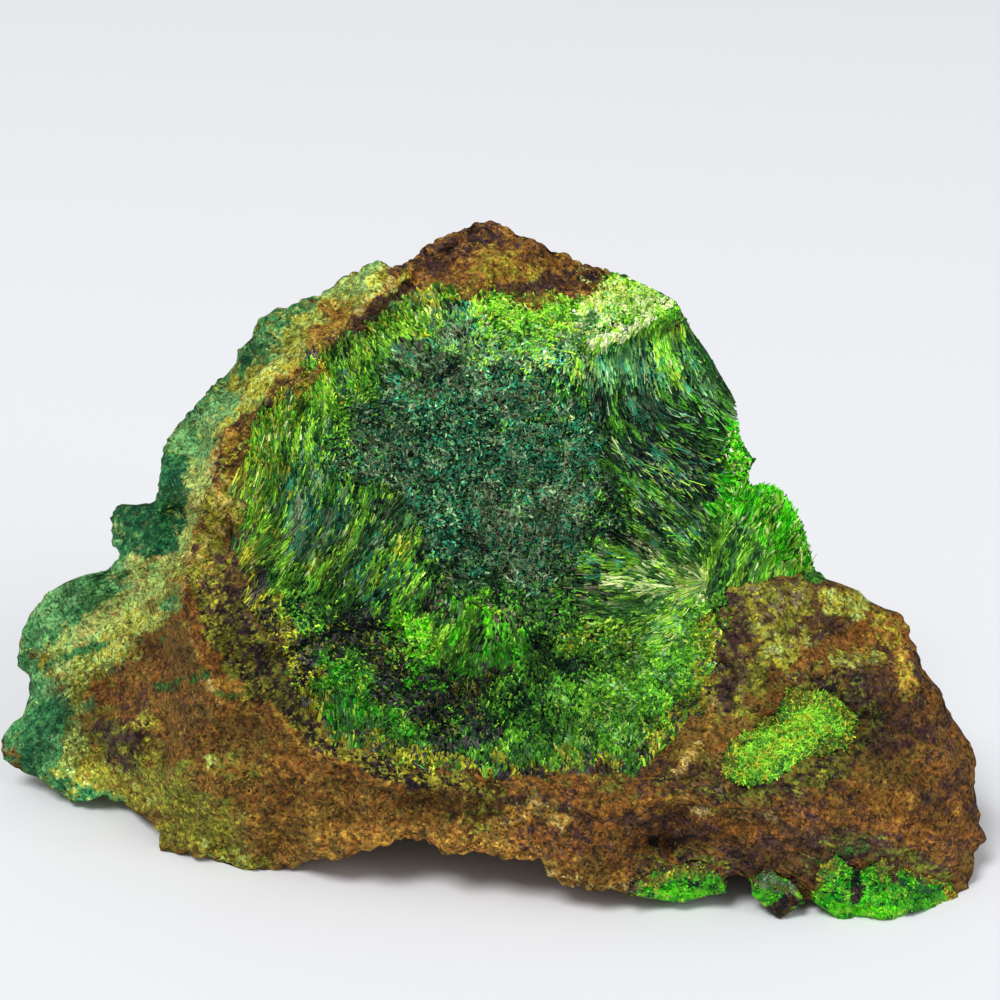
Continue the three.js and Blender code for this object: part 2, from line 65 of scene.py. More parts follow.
# Outline of the stone on its face, clockwise from the peak
OUTLINE = (
    (490, 219), (515, 230), (547, 241), (572, 259), (594, 265), (617, 274), (639, 283), (658, 292),
    (675, 302), (691, 332), (706, 352), (719, 375), (732, 396), (733, 421), (743, 447), (753, 461),
    (748, 469), (747, 489), (776, 488), (795, 514), (806, 541), (813, 570), (834, 583), (854, 590),
    (879, 603), (898, 608), (912, 634), (923, 666), (946, 694), (956, 724), (977, 751), (978, 783),
    (982, 827), (988, 835), (977, 851), (969, 888), (943, 904), (906, 912), (888, 919), (865, 914),
    (840, 918), (816, 903), (803, 903), (780, 917), (769, 908), (752, 893), (749, 878), (740, 875),
    (729, 882), (726, 892), (705, 895), (682, 901), (645, 896), (611, 892), (597, 896), (560, 883),
    (547, 872), (544, 858), (501, 854), (474, 851), (447, 855), (426, 840), (410, 838), (394, 841),
    (367, 852), (348, 858), (321, 861), (296, 864), (270, 873), (240, 872), (204, 860), (188, 854),
    (161, 853), (158, 835), (139, 816), (99, 796), (88, 808), (72, 808), (56, 792), (21, 777),
    (0, 761), (0, 738), (20, 716), (31, 694), (29, 675), (17, 665), (21, 638), (40, 603), (54, 587),
    (80, 575), (103, 570), (118, 560), (120, 548), (111, 543), (109, 530), (115, 503), (147, 503),
    (158, 492), (157, 485), (160, 472), (166, 440), (180, 416), (200, 396), (208, 385), (228, 368),
    (234, 346), (245, 340), (252, 329), (260, 315), (271, 310), (286, 309), (296, 301), (319, 293),
    (328, 285), (347, 274), (375, 258), (397, 264), (421, 255), (433, 244), (449, 233), (476, 221),
)

# Raised rim on the left of the face
RIM_RIDGE = (
    (391, 283), (345, 325), (317, 361), (269, 400), (221, 444), (208, 505), (186, 584), (195, 641),
    (220, 702), (278, 716), (319, 757), (347, 762), (395, 787), (475, 794),
)

# Ledge along the base
BASE_LEDGE = ((521, 797), (580, 806), (640, 803), (700, 800), (780, 812))

# Crest at the upper right
CREST = ((672, 308), (640, 320), (600, 338), (560, 333))

# Thin ridge between the mat and the right lobe
LOBE_RIDGE = ((677, 771), (705, 736), (716, 700))

# Crack that runs into the mat from the left
FACE_CRACK = ((269, 659), (345, 632), (400, 628))

# Green vein of the left side
LEFT_VEIN = ((40, 665), (102, 646))

# Crack across the peak
PEAK_CRACK = ((405, 290), (440, 262), (470, 235))

# Round lumps and pits: place, height in millimetres, reach
LUMPS = (
    (655, 842, -2.4, 26), (135, 527, 1.6, 26), (60, 640, 1.2, 34), (52, 735, 1.4, 36),
    (540, 255, 1, 30), (455, 262, 0.9, 26), (600, 850, 1.2, 32), (880, 690, 1.1, 34),
    (930, 800, 1, 30), (770, 640, 0.9, 30), (855, 880, -1, 18), (370, 690, -0.8, 34),
)

# Height of the front at face points: x, y, millimetres
FRONT_DEPTHS = (
    (500, 480, -0.6), (400, 420, 0), (600, 420, -0.3), (350, 520, 0.3), (450, 600, -0.2),
    (560, 600, -0.6), (650, 500, 0.2), (300, 450, 0.8), (260, 560, 1), (240, 640, 1.2),
    (330, 700, 0.6), (420, 720, 0.3), (520, 720, 0.2), (620, 720, 0.6), (690, 680, 0.8),
    (700, 420, -0.8), (735, 430, -1.8), (750, 470, -2), (715, 530, -0.3), (770, 530, -1.5),
    (805, 560, -3), (450, 330, 0), (520, 330, 0.3), (580, 345, 1.2), (600, 335, 1.8), (640, 318, 2),
    (672, 306, 1.2), (617, 285, -2.5), (645, 292, -2), (660, 350, 0.8), (490, 232, -7.5),
    (440, 258, -6), (550, 255, -6.4), (500, 270, -4.2), (400, 285, -3), (600, 275, -3.8),
    (450, 300, -1.8), (530, 302, -1.4), (375, 295, -0.4), (317, 361, 1.4), (269, 400, 1.7),
    (221, 444, 1.8), (208, 505, 1.9), (186, 584, 2.2), (195, 641, 2.4), (220, 702, 2.6),
    (278, 716, 2.6), (319, 757, 2.8), (395, 787, 3.2), (475, 794, 3.6), (340, 290, -4),
    (280, 325, -4.6), (235, 370, -5.4), (190, 440, -6.4), (175, 520, -6.6), (155, 570, -7),
    (128, 530, -9), (110, 600, -9), (50, 630, -10.5), (28, 700, -11.5), (14, 760, -11.5),
    (85, 770, -9.8), (85, 690, -8.6), (145, 650, -4.4), (145, 740, -3.8), (100, 800, -9),
    (200, 760, 0.4), (250, 805, 0.4), (215, 850, -2.6), (270, 862, -2), (160, 845, -4.4),
    (330, 825, 2), (400, 818, 3.2), (480, 825, 4), (560, 835, 4.4), (640, 812, 5), (700, 806, 5.2),
    (640, 872, 4), (720, 866, 4), (690, 893, 3), (760, 620, 0.5), (820, 612, -0.8),
    (880, 620, -2.2), (780, 680, 2.2), (860, 690, 1.6), (915, 705, -0.6), (940, 760, 0.4),
    (900, 800, 2.6), (820, 822, 4.4), (760, 845, 4.8), (860, 868, 4.2), (935, 860, 2),
    (978, 825, -1.2), (962, 740, -2.4), (895, 905, 3.4), (780, 902, 3.4), (960, 890, 0.6),
)

# Height of the back at face points: x, y, millimetres
BACK_DEPTHS = (
    (490, 250, -12), (400, 300, -13.5), (600, 300, -11.5), (500, 360, -16), (300, 380, -14),
    (690, 380, -10.5), (640, 470, -15), (230, 470, -16), (400, 480, -20), (540, 540, -21.5),
    (740, 520, -11), (140, 580, -16), (60, 680, -17), (180, 700, -19), (330, 640, -20),
    (450, 700, -23), (620, 680, -22.5), (760, 660, -17), (850, 640, -11), (920, 720, -10),
    (820, 760, -18.5), (940, 830, -9), (300, 780, -21), (680, 780, -21),
)

# Feet on the underside
FEET = ((262, 850), (100, 766), (860, 895), (650, 752), (420, 756))

# Rims of the crystal mat and the smaller crusts
MAT_RIM = (
    (385, 304), (430, 293), (480, 297), (540, 300), (588, 292), (616, 273), (639, 282), (658, 291),
    (676, 301), (692, 331), (707, 351), (720, 374), (733, 396), (734, 421), (744, 446), (755, 461),
    (749, 470), (748, 488), (777, 487), (796, 513), (807, 541), (812, 571), (786, 580), (756, 584),
    (727, 592), (722, 615), (721, 645), (716, 678), (700, 712), (678, 740), (655, 762), (620, 780),
    (590, 786), (560, 785), (530, 785), (500, 782), (465, 779), (430, 775), (404, 767), (380, 758),
    (357, 751), (335, 742), (314, 725), (300, 705), (291, 680), (284, 650), (272, 628), (256, 610),
    (243, 588), (234, 560), (234, 530), (236, 505), (233, 480), (237, 450), (252, 424), (272, 406),
    (292, 388), (312, 367), (330, 348), (348, 330), (365, 314),
)
PATCH_RIM = (
    (787, 687), (814, 689), (839, 697), (857, 712), (855, 730), (844, 746), (826, 754), (806, 759),
    (774, 781), (739, 784), (720, 776), (724, 751), (740, 737), (757, 724), (779, 714),
)
EDGE_LEFT_RIM = (
    (628, 893), (640, 878), (665, 866), (700, 862), (720, 872), (727, 893), (705, 896), (682, 903),
    (645, 898),
)
EDGE_MIDDLE_RIM = (
    (751, 879), (770, 871), (788, 880), (800, 893), (803, 904), (780, 919), (768, 910), (752, 895),
)
EDGE_RIGHT_RIM = (
    (814, 902), (812, 880), (822, 862), (836, 856), (852, 868), (872, 866), (888, 852), (906, 868),
    (928, 876), (952, 884), (958, 898), (943, 906), (906, 914), (888, 921), (865, 916), (840, 920),
)


def smooth_step(low: float, high: float, value: Array) -> Array:
    """Rise from 0 to 1 between two limits, by 3t squared minus 2t cubed."""
    share = np.clip((value - low) / (high - low), 0.0, 1.0)
    return share * share * (3.0 - 2.0 * share)


def blend(start: Array, end: Array, share: Array) -> Array:
    """Straight blend from start to end by a share from 0 to 1."""
    return start + (end - start) * share


def lattice_draw(cells: Array, seed: int) -> Array:
    """Draw a fixed random number for every cell of a cubic lattice.

    A cell's three whole numbers are multiplied by large odd numbers, joined by exclusive or, and
    mixed twice by a shift and a multiplication, all within 32 bits.

    Args:
        cells: Whole numbers of the cells, three in the last axis.
        seed: Number that picks another set of draws.

    Returns:
        One number from 0 to 1 for each cell.
    """
    mask = 0xFFFFFFFF
    mixed = (cells[..., 0] * 73856093) ^ (cells[..., 1] * 19349663) ^ (cells[..., 2] * 83492791)
    mixed = (mixed ^ (seed * 40503 + 977)) & mask
    mixed = ((mixed ^ (mixed >> 15)) * 0x2C1B3C6D) & mask
    mixed = ((mixed ^ (mixed >> 12)) * 0x297A2D39) & mask
    mixed = mixed ^ (mixed >> 15)
    return (mixed & 0xFFFFFF) / float(0x1000000)


def rolling_noise(points: Array, size: float, seed: int) -> Array:
    """Smooth noise from -1 to 1: the draws of a cell's eight corners, blended along each axis.

    Args:
        points: Places, three numbers each.
        size: Width of a cell in the same unit.
        seed: Number that picks another noise.

    Returns:
        One height for each place.
    """
    scaled = points / size
    base = np.floor(scaled).astype(np.int64)
    part = scaled - base
    part = part * part * (3.0 - 2.0 * part)
    total = np.zeros(len(points))
    for corner in range(8):
        step = np.array((corner & 1, corner >> 1 & 1, corner >> 2 & 1))
        weight = np.prod(np.where(step == 1, part, 1.0 - part), axis=1)
        total += weight * lattice_draw(base + step, seed)
    return 2.0 * total - 1.0


def layered_noise(points: Array, size: float, layers: int, seed: int) -> Array:
    """Sum of rolling noises, each half as wide and half as high as the one before.

    Args:
        points: Places, three numbers each.
        size: Width of the broadest layer's cells.
        layers: How many noises are added.
        seed: Number that picks another noise.

    Returns:
        One height from about -1 to 1 for each place.
    """
    total = np.zeros(len(points))
    for layer in range(layers):
        total += rolling_noise(points, size * 0.5**layer, seed + 17 * layer) * 0.5**layer
    return total * 1.1


def grain_cells(points: Array, size: float, seed: int) -> tuple[Array, Array, Array]:
    """Grains packed at random: each place belongs to the nearest of the grains' middles.

    Every lattice cell holds one middle at a random place; the 27 cells round a place are searched.

    Args:
        points: Places, three numbers each.
        size: Width of a grain in the same unit.
        seed: Number that picks another packing.

    Returns:
        Distance to the nearest middle, how much further the next one is, both in grain widths,
        and a draw from 0 to 1 that is the same all over a grain.
    """
    scaled = points / size
    base = np.floor(scaled).astype(np.int64)
    nearest = np.full(len(points), 9.0)
    second = np.full(len(points), 9.0)
    draw = np.zeros(len(points))
    for number in range(27):
        cell = base + np.array((number % 3 - 1, number // 3 % 3 - 1, number // 9 - 1))
        middle = np.stack([lattice_draw(cell, seed + axis) for axis in (1, 2, 3)], axis=1) + cell
        distance = np.sqrt(((middle - scaled) ** 2).sum(axis=1))
        closer = distance < nearest
        second = np.where(closer, nearest, np.minimum(second, distance))
        draw = np.where(closer, lattice_draw(cell, seed + 4), draw)
        nearest = np.where(closer, distance, nearest)
    return nearest, second - nearest, draw


def flat_points(x: Array, y: Array) -> Array:
    """Face points as places for the noises, in one plane."""
    return np.stack((x, y, np.zeros_like(x)), axis=1)


def line_distance(line: Points, x: Array, y: Array) -> Array:
    """Shortest distance from face points to a line of several points, or to a single point.

    Args:
        line: Face points of the line.
        x: Across.
        y: Down.

    Returns:
        The distance of each face point.
    """
    nearest = np.hypot(x - line[0][0], y - line[0][1])
    for (start_x, start_y), (end_x, end_y) in zip(line[:-1], line[1:]):
        run_x = end_x - start_x
        run_y = end_y - start_y
        along = ((x - start_x) * run_x + (y - start_y) * run_y) / (run_x**2 + run_y**2)
        share = np.clip(along, 0.0, 1.0)
        gap = np.hypot(x - start_x - share * run_x, y - start_y - share * run_y)
        nearest = np.minimum(nearest, gap)
    return nearest


def blend_marks(marks: Array, x: Array, y: Array) -> Array:
    """Values at face points, from marks that count more the nearer they are.

    A mark's weight is one over the square of the sum of its squared distance and the squared
    softness.

    Args:
        marks: Rows of x, y and one or more values.
        x: Across.
        y: Down.

    Returns:
        A row of blended values for each point.
    """
    softness = 15.0
    squared = (x[:, None] - marks[None, :, 0]) ** 2 + (y[:, None] - marks[None, :, 1]) ** 2
    weight = (squared + softness**2) ** -2.0
    return (weight @ marks[:, 2:]) / weight.sum(axis=1)[:, None]


class ClosedLine:
    """A closed line seen from a point inside it, as a radius for every direction."""

    directions = 7200

    def __init__(self, points: Points, middle: tuple[float, float]) -> None:
        """Tabulate the radius in every direction, where its ray crosses the line.

        Args:
            points: Face points of the line, in order.
            middle: Face point that it is seen from.
        """
        self.middle = middle
        self.angles = np.linspace(0.0, 2.0 * np.pi, self.directions + 1)
        across = np.cos(self.angles)[:, None]
        down = -np.sin(self.angles)[:, None]
        start = np.array(points, float) - np.array(middle, float)
        run = np.roll(start, -1, axis=0) - start
        cross = across * run[None, :, 1] - down * run[None, :, 0]
        cross = np.where(np.abs(cross) < 1e-9, 1e-9, cross)
        radius = (start[:, 0] * run[:, 1] - start[:, 1] * run[:, 0])[None, :] / cross
        share = (start[None, :, 0] * down - start[None, :, 1] * across) / cross
        crossed = (radius > 0) & (share >= -1e-6) & (share <= 1 + 1e-6)
        self.radii = np.where(crossed, radius, np.inf).min(axis=1)

    def radius(self, angle: Array) -> Array:
        """Distance from the middle to the line in the given directions."""
        return np.interp(np.mod(angle, 2.0 * np.pi), self.angles, self.radii)

    def even_radius(self, angle: Array, spread: float = 0.15) -> Array:
        """The line's course without its small bays: the mean radius of seven directions."""
        offsets = np.linspace(-spread, spread, 7)
        return sum(self.radius(angle + offset) for offset in offsets) / len(offsets)

    def share(self, x: Array, y: Array) -> Array:
        """How far out a face point lies: 0 at the middle, 1 on the line."""
        angle = np.arctan2(self.middle[1] - y, x - self.middle[0])
        return np.hypot(x - self.middle[0], y - self.middle[1]) / self.radius(angle)


class Relief:
    """The stone's surfaces as heights over its face points, as in the solid model."""

    ridges = (
        (RIM_RIDGE, 0.8, 11.0),
        (BASE_LEDGE, 0.8, 11.0),
        (CREST, 0.7, 10.0),
        (LOBE_RIDGE, 0.6, 8.0),
        (FACE_CRACK, -0.5, 6.0),
        (LEFT_VEIN, -0.7, 8.0),
        (PEAK_CRACK, -0.8, 8.0),
    )
    sheet_start = -30.0
    sheet_end = 1040.0
    sheet_step = 3.0
    oval_x = 490
    oval_y = 535
    oval_radius = 250
    front_rough = 0.45
    back_rough = 0.9
    least_depth = 4.5
    foot_depth = 2.6
    foot_width = 46
    foot_height = 26

    def __init__(self) -> None:
        """Work out the front height once on a sheet of points, for quick readings."""
        self.front_marks = np.array(FRONT_DEPTHS, float)
        self.back_marks = np.array(BACK_DEPTHS, float)
        self.outline = ClosedLine(OUTLINE, STAR_CENTRE)
        steps = np.arange(self.sheet_start, self.sheet_end, self.sheet_step)
        across, down = np.meshgrid(steps, steps, indexing="ij")
        self.sheet = self.front(across.ravel(), down.ravel()).reshape(across.shape)

    @staticmethod
    def unevenness(x: Array, y: Array) -> Array:
        """Rolling unevenness of broken rock, from two crossed waves that bend each other.

        Args:
            x: Across.
            y: Down.

        Returns:
            One height from about -1.5 to 1.5 for each face point.
        """
        wide = np.sin(x / 22 + 2 * np.sin(y / 41)) * np.sin(y / 26 + 1.7 * np.sin(x / 37))
        small = np.sin(x / 11 - y / 17) * np.sin(y / 10 + x / 29)
        return wide + 0.5 * small

    def front(self, x: Array, y: Array) -> Array:
        """Height of the front at face points.

        The blended marks, plus the unevenness, which is calmer inside the mat's oval, plus each
        ridge and lump as a bell: height times e to the minus squared distance over reach.

        Args:
            x: Across.
            y: Down.

        Returns:
            One height in millimetres for each face point.
        """
        from_mat = np.hypot((x - self.oval_x) / self.oval_radius, (y - self.oval_y) / self.oval_radius)
        calm = 0.35 + 0.65 * smooth_step(0.85, 1.15, from_mat)
        depth = blend_marks(self.front_marks, x, y)[:, 0]
        depth = depth + calm * self.front_rough * self.unevenness(x, y)
        for line, height, reach in self.ridges:
            depth = depth + height * np.exp(-((line_distance(line, x, y) / reach) ** 2))
        for lump_x, lump_y, height, reach in LUMPS:
            squared = (x - lump_x) ** 2 + (y - lump_y) ** 2
            depth = depth + height * np.exp(-squared / reach**2)
        return depth

    def read_front(self, x: Array, y: Array) -> tuple[Array, Array, Array]:
        """Read the front height and its slopes off the sheet, blended between its points.

        Args:
            x: Across.
            y: Down.

        Returns:
            Height, then its rise to the right and its rise upwards, in millimetres per millimetre.
        """
        across = (x - self.sheet_start) / self.sheet_step
        down = (y - self.sheet_start) / self.sheet_step
        column = np.clip(np.floor(across).astype(int), 0, self.sheet.shape[0] - 2)
        row = np.clip(np.floor(down).astype(int), 0, self.sheet.shape[1] - 2)
        part_x = across - column
        part_y = down - row
        near = blend(self.sheet[column, row], self.sheet[column + 1, row], part_x)
        far = blend(self.sheet[column, row + 1], self.sheet[column + 1, row + 1], part_x)
        left = blend(self.sheet[column, row], self.sheet[column, row + 1], part_y)
        right = blend(self.sheet[column + 1, row], self.sheet[column + 1, row + 1], part_y)
        run = self.sheet_step * FACE_SCALE
        return blend(near, far, part_y), (right - left) / run, (near - far) / run

    def underside_rise(self, x: Array, y: Array) -> Array:
        """Height of the underside above the ground: an arch that comes down at the feet.

        Args:
            x: Across.
            y: Down.

        Returns:
            One height in millimetres for each face point.
        """
        rise = 1.3 + 0.5 * np.sin(x / 31) * np.sin(y / 19)
        for foot_x, foot_y in FEET:
            across = ((x - foot_x) / self.foot_width) ** 2
            down = ((y - foot_y) / self.foot_height) ** 2
            rise = rise - self.foot_depth * np.exp(-across - down)
        return rise

    def back(self, x: Array, y: Array, edge: Array) -> Array:
        """Height of the back: no lower than the underside, and clear of the front edge.

        Args:
            x: Across.
            y: Down.
            edge: Height of the front edge in the same direction.

        Returns:
            One height in millimetres for each face point.
        """
        marked = blend_marks(self.back_marks, x, y)[:, 0]
        rough = marked + self.back_rough * self.unevenness(x + 300, y)
        drop = FACE_SCALE * (VIEW_MIDDLE - y) * math.cos(LEAN)
        lowest = (self.underside_rise(x, y) - REST[2] - drop) / (math.sin(LEAN) - drop / VIEW_DISTANCE)
        return np.minimum(np.maximum(rough, lowest), edge - self.least_depth)

    @staticmethod
    def view_place(x: Array, y: Array, depth: Array) -> Array:
        """Place before the stone is stood up: what is nearer is drawn smaller, as it is seen."""
        scale = FACE_SCALE * (1.0 - depth / VIEW_DISTANCE)
        return np.stack(((x - VIEW_MIDDLE) * scale, (VIEW_MIDDLE - y) * scale, depth), axis=1)

    @staticmethod
    def turned(vectors: Array) -> Array:
        """Turn directions of the face view into those of the room, by the stone's lean back.

        Args:
            vectors: Directions across, up and out of the face.

        Returns:
            Directions across, away from the camera and up.
        """
        across, up, out = vectors.T
        deep = up * math.sin(LEAN) - out * math.cos(LEAN)
        high = up * math.cos(LEAN) + out * math.sin(LEAN)
        return np.stack((across, deep, high), axis=1)

    def stand(self, x: Array, y: Array, depth: Array) -> Array:
        """Place in the room of a face point at a height, in millimetres."""
        return self.turned(self.view_place(x, y, depth)) + np.array(REST)


@dataclass
class Shape:
    """A closed triangle mesh with a colour at every point.

    Attributes:
        points: Places in millimetres.
        triangles: Rows of three point numbers, turning left as seen from outside.
        tint: Linear colour of each point.
        grain_tint: Second colour of each point, which single grains take.
    """

    points: Array
    triangles: Array
    tint: Array
    grain_tint: Array | None = None

    def normals(self) -> Array:
        """Outward direction at each point: the sum of its triangles' cross products.

        Returns:
            One direction of length one for each point.
        """
        corners = self.points[self.triangles]
        cross = np.cross(corners[:, 1] - corners[:, 0], corners[:, 2] - corners[:, 0])
        total = np.zeros_like(self.points)
        for corner in range(3):
            for axis in range(3):
                weights = cross[:, axis]
                counted = np.bincount(self.triangles[:, corner], weights, len(self.points))
                total[:, axis] += counted
        return total / np.maximum(np.linalg.norm(total, axis=1), 1e-12)[:, None]

    def pushed(self, distance: Array) -> "Shape":
        """The shape with each point moved along its normal, but none below the ground.

        Args:
            distance: Way of each point in millimetres.

        Returns:
            The moved shape.
        """
        moved = self.points + self.normals() * distance[:, None]
        moved[:, 2] = np.maximum(moved[:, 2], 0.0)
        return Shape(moved, self.triangles, self.tint, self.grain_tint)


def grid_triangles(numbers: Array) -> Array:
    """Two triangles for every square of a grid of point numbers.

    Args:
        numbers: Point numbers; rows run away from the front and columns turn left.

    Returns:
        Rows of three point numbers.
    """
    here = numbers[:-1, :-1].ravel()
    below = numbers[1:, :-1].ravel()
    far = numbers[1:, 1:].ravel()
    beside = numbers[:-1, 1:].ravel()
    return np.concatenate((np.stack((here, below, far), 1), np.stack((here, far, beside), 1)))


def wrapped_grid(numbers: Array) -> Array:
    """A grid of point numbers whose first column is repeated at its end."""
    return np.concatenate((numbers, numbers[:, :1]), axis=1)


class Tone(Enum):
    """Colours of the rock and its crystals, as they look on a screen, 0 to 255."""

    RUST = (128, 84, 34)
    LIMONITE = (114, 90, 38)
    OCHRE = (162, 122, 46)
    MUSTARD = (164, 158, 48)
    OLIVE = (112, 118, 40)
    TAN = (192, 168, 98)
    UMBER = (80, 56, 28)
    PLUM = (70, 48, 46)
    SOOT = (30, 24, 26)
    HOST_GREY = (128, 116, 92)
    MALACHITE = (62, 124, 70)
    DEEP_MALACHITE = (24, 86, 52)
    SEA_GREEN = (112, 168, 102)
    CELADON = (172, 192, 98)
    LIME = (140, 202, 52)
    LEAF = (78, 148, 38)
    MOSS = (56, 106, 42)
    FOREST = (20, 66, 26)
    INK = (10, 28, 22)
    TEAL = (40, 122, 86)
    GREY_GREEN = (110, 138, 100)
    PLUM_GREY = (66, 60, 64)
    TAUPE = (98, 98, 74)
    PALE = (208, 232, 152)
    SPRING = (82, 204, 14)
    EMERALD = (26, 150, 12)
    GOLD = (170, 172, 44)

    @property
    def linear(self) -> Array:
        """The colour as linear light: the screen curve undone."""
        screen = np.array(self.value, float) / 255.0
        return np.where(screen <= 0.04045, screen / 12.92, ((screen + 0.055) / 1.055) ** 2.4)


Mix = tuple[tuple[Tone, float], ...]


def tones(**shares: float) -> Mix:
    """A mix of tones by their names, with the share of each."""
    return tuple((Tone[name], share) for name, share in shares.items())


@dataclass(frozen=True)
class Stain:
    """A stain along a line or round a spot of the face.

    Attributes:
        mix: Tones that the stain is picked from, and the share of each.
        path: Face points of its line.
        reach: Half its width, in face points.
        cover: Share of its middle that it covers.
        broken: How much its border is broken up.
        grain: Size of the breaks, in face points.
    """

    mix: Mix
    path: Points
    reach: float
    cover: float = 1.0
    broken: float = 0.6
    grain: float = 16.0


@dataclass(frozen=True)
class PaintedLight:
    """A stretch of the face that is lighter or darker than its tones, as painted light or painted shade,
    or calmer.

    Attributes:
        path: Face points of its line.
        reach: Half its width, in face points.
        gain: Share of light that its line gains, or loses where it is negative.
        calm: Share of the crystals' contrast that its line loses.
    """

    path: Points
    reach: float
    gain: float
    calm: float = 0.0


def stains_of(*rows: tuple) -> tuple[Stain, ...]:
    """Stains from rows of their fields, from the lowest to the topmost."""
    return tuple(Stain(*row) for row in rows)


def painted_lights_of(*rows: tuple) -> tuple[PaintedLight, ...]:
    """Stretches of painted light and painted shade from rows of their fields."""
    return tuple(PaintedLight(*row) for row in rows)


def painted_light_at(painted_lights: tuple[PaintedLight, ...], x: Array, y: Array) -> tuple[Array, Array]:
    """Painted light and calm of face points: each stretch of painted light or painted shade is full on
    its line and ends at its reach.

    Args:
        painted_lights: Stretches of painted light and painted shade that lie on the face.
        x: Across.
        y: Down.

    Returns:
        Factor of the light, and share of the contrast that is lost, for each face point.
    """
    light = np.ones_like(x)
    calm = np.zeros_like(x)
    for painted_light in painted_lights:
        share = smooth_step(0.0, 0.7, 1.0 - line_distance(painted_light.path, x, y) / painted_light.reach)
        light = light * (1.0 + painted_light.gain * share)
        calm = np.maximum(calm, painted_light.calm * share)
    return light, calm


def brushed_draw(x: Array, y: Array, heading: Array, stroke: Array, size: float, seed: int) -> Array:
    """Patchy draws from 0 to 1, drawn out along a heading.

    A noise is averaged over seven places along the heading, and its values are replaced by
    their ranks, so that every share of the points gets the same share of the range.

    Args:
        x: Across.
        y: Down.
        heading: Heading of each point, in radians.
        stroke: Distance from each of the seven places to the next, in face points.
        size: Width of the patches, in face points.
        seed: Number that picks another noise.

    Returns:
        One draw for each point.
    """
    total = np.zeros_like(x)
    for step in range(-3, 4):
        shift = step * stroke
        places = flat_points(x + shift * np.cos(heading), y - shift * np.sin(heading))
        total += layered_noise(places, size, 2, seed)
    return np.argsort(np.argsort(total)) / len(total)


def picked(mix: Mix, draw: Array) -> Array:
    """Pick a tone for each draw from 0 to 1, as often as its share of the mix says.

    Args:
        mix: Tones and their shares.
        draw: One number from 0 to 1 for each point.

    Returns:
        Linear colour of each point.
    """
    shares = np.array([share for _, share in mix])
    limits = np.cumsum(shares / shares.sum())[:-1]
    colours = np.array([tone.linear for tone, _ in mix])
    return colours[np.searchsorted(limits, draw)]


def painted(
    base: Mix, stains: tuple[Stain, ...], x: Array, y: Array, draws: Array, soft: float
) -> Array:
    """Lay a base mix and then stain after stain, as glazes over each other.

    A stain's strength falls from 1 on its line to 0 at its reach and is broken up by a noise. It
    takes a point where its strength is above the point's draw, over a soft margin.

    Args:
        base: Mix of the ground under all stains.
        stains: Stains, from the lowest to the topmost.
        x: Across.
        y: Down.
        draws: Two numbers from 0 to 1 for each point, the same all over a grain or a crystal.
        soft: Width of the margin between covered and bare.

    Returns:
        Linear colour of each point.
    """
    luck_turn, tone_turn = 0.618, 0.382
    noise_shift = 211.0
    colour = picked(base, draws[:, 1])
    for number, stain in enumerate(stains):
        distance = line_distance(stain.path, x, y)
        near = np.flatnonzero(distance < stain.reach * (1.15 + stain.broken))
        if len(near) == 0:
            continue
        places = flat_points(x[near] + noise_shift * number, y[near])
        noise = layered_noise(places, stain.grain, 2, 40 + number)
        nearness = 1.0 - distance[near] / stain.reach
        strength = stain.cover * smooth_step(-0.15, 0.35, nearness + stain.broken * noise)
        luck = np.mod(draws[near, 0] + luck_turn * number, 1.0)
        taken = np.clip((strength - luck) / soft + 0.5, 0.0, 1.0) * (strength > 0.01)
        tone = picked(stain.mix, np.mod(draws[near, 1] + tone_turn * number, 1.0))
        colour[near] = blend(colour[near], tone, taken[:, None])
    return colour


# Mixes of the rock
BROWN_GROUND = tones(RUST=0.36, LIMONITE=0.4, UMBER=0.16, OCHRE=0.08)
GREEN_SIDE = tones(MALACHITE=0.5, SEA_GREEN=0.3, OLIVE=0.1, CELADON=0.1)
OLIVE_BAND = tones(OLIVE=0.34, MUSTARD=0.3, CELADON=0.24, LIMONITE=0.12)
PALE_STRIPE = tones(CELADON=0.75, TAN=0.15, SEA_GREEN=0.1)
SANDY = tones(RUST=0.46, OCHRE=0.12, LIMONITE=0.28, UMBER=0.14)
DARK_RUST = tones(UMBER=0.45, RUST=0.35, PLUM=0.2)
PURPLE = tones(PLUM=0.6, UMBER=0.25, SOOT=0.15)
GRAINED_DARK = tones(PLUM=0.3, SOOT=0.26, MUSTARD=0.22, OLIVE=0.22)
PEAK_MIX = tones(OCHRE=0.3, RUST=0.26, PLUM=0.2, UMBER=0.14, TAN=0.1)
LOBE_MIX = tones(PLUM=0.28, UMBER=0.24, OLIVE=0.24, LIMONITE=0.24)
DEEP_GREEN = tones(DEEP_MALACHITE=0.65, MALACHITE=0.35)
BACK_MIX = tones(LIMONITE=0.3, HOST_GREY=0.25, UMBER=0.2, RUST=0.15, OLIVE=0.1)
BACK_STAIN = tones(MALACHITE=0.4, OLIVE=0.3, SEA_GREEN=0.1, PLUM=0.2)

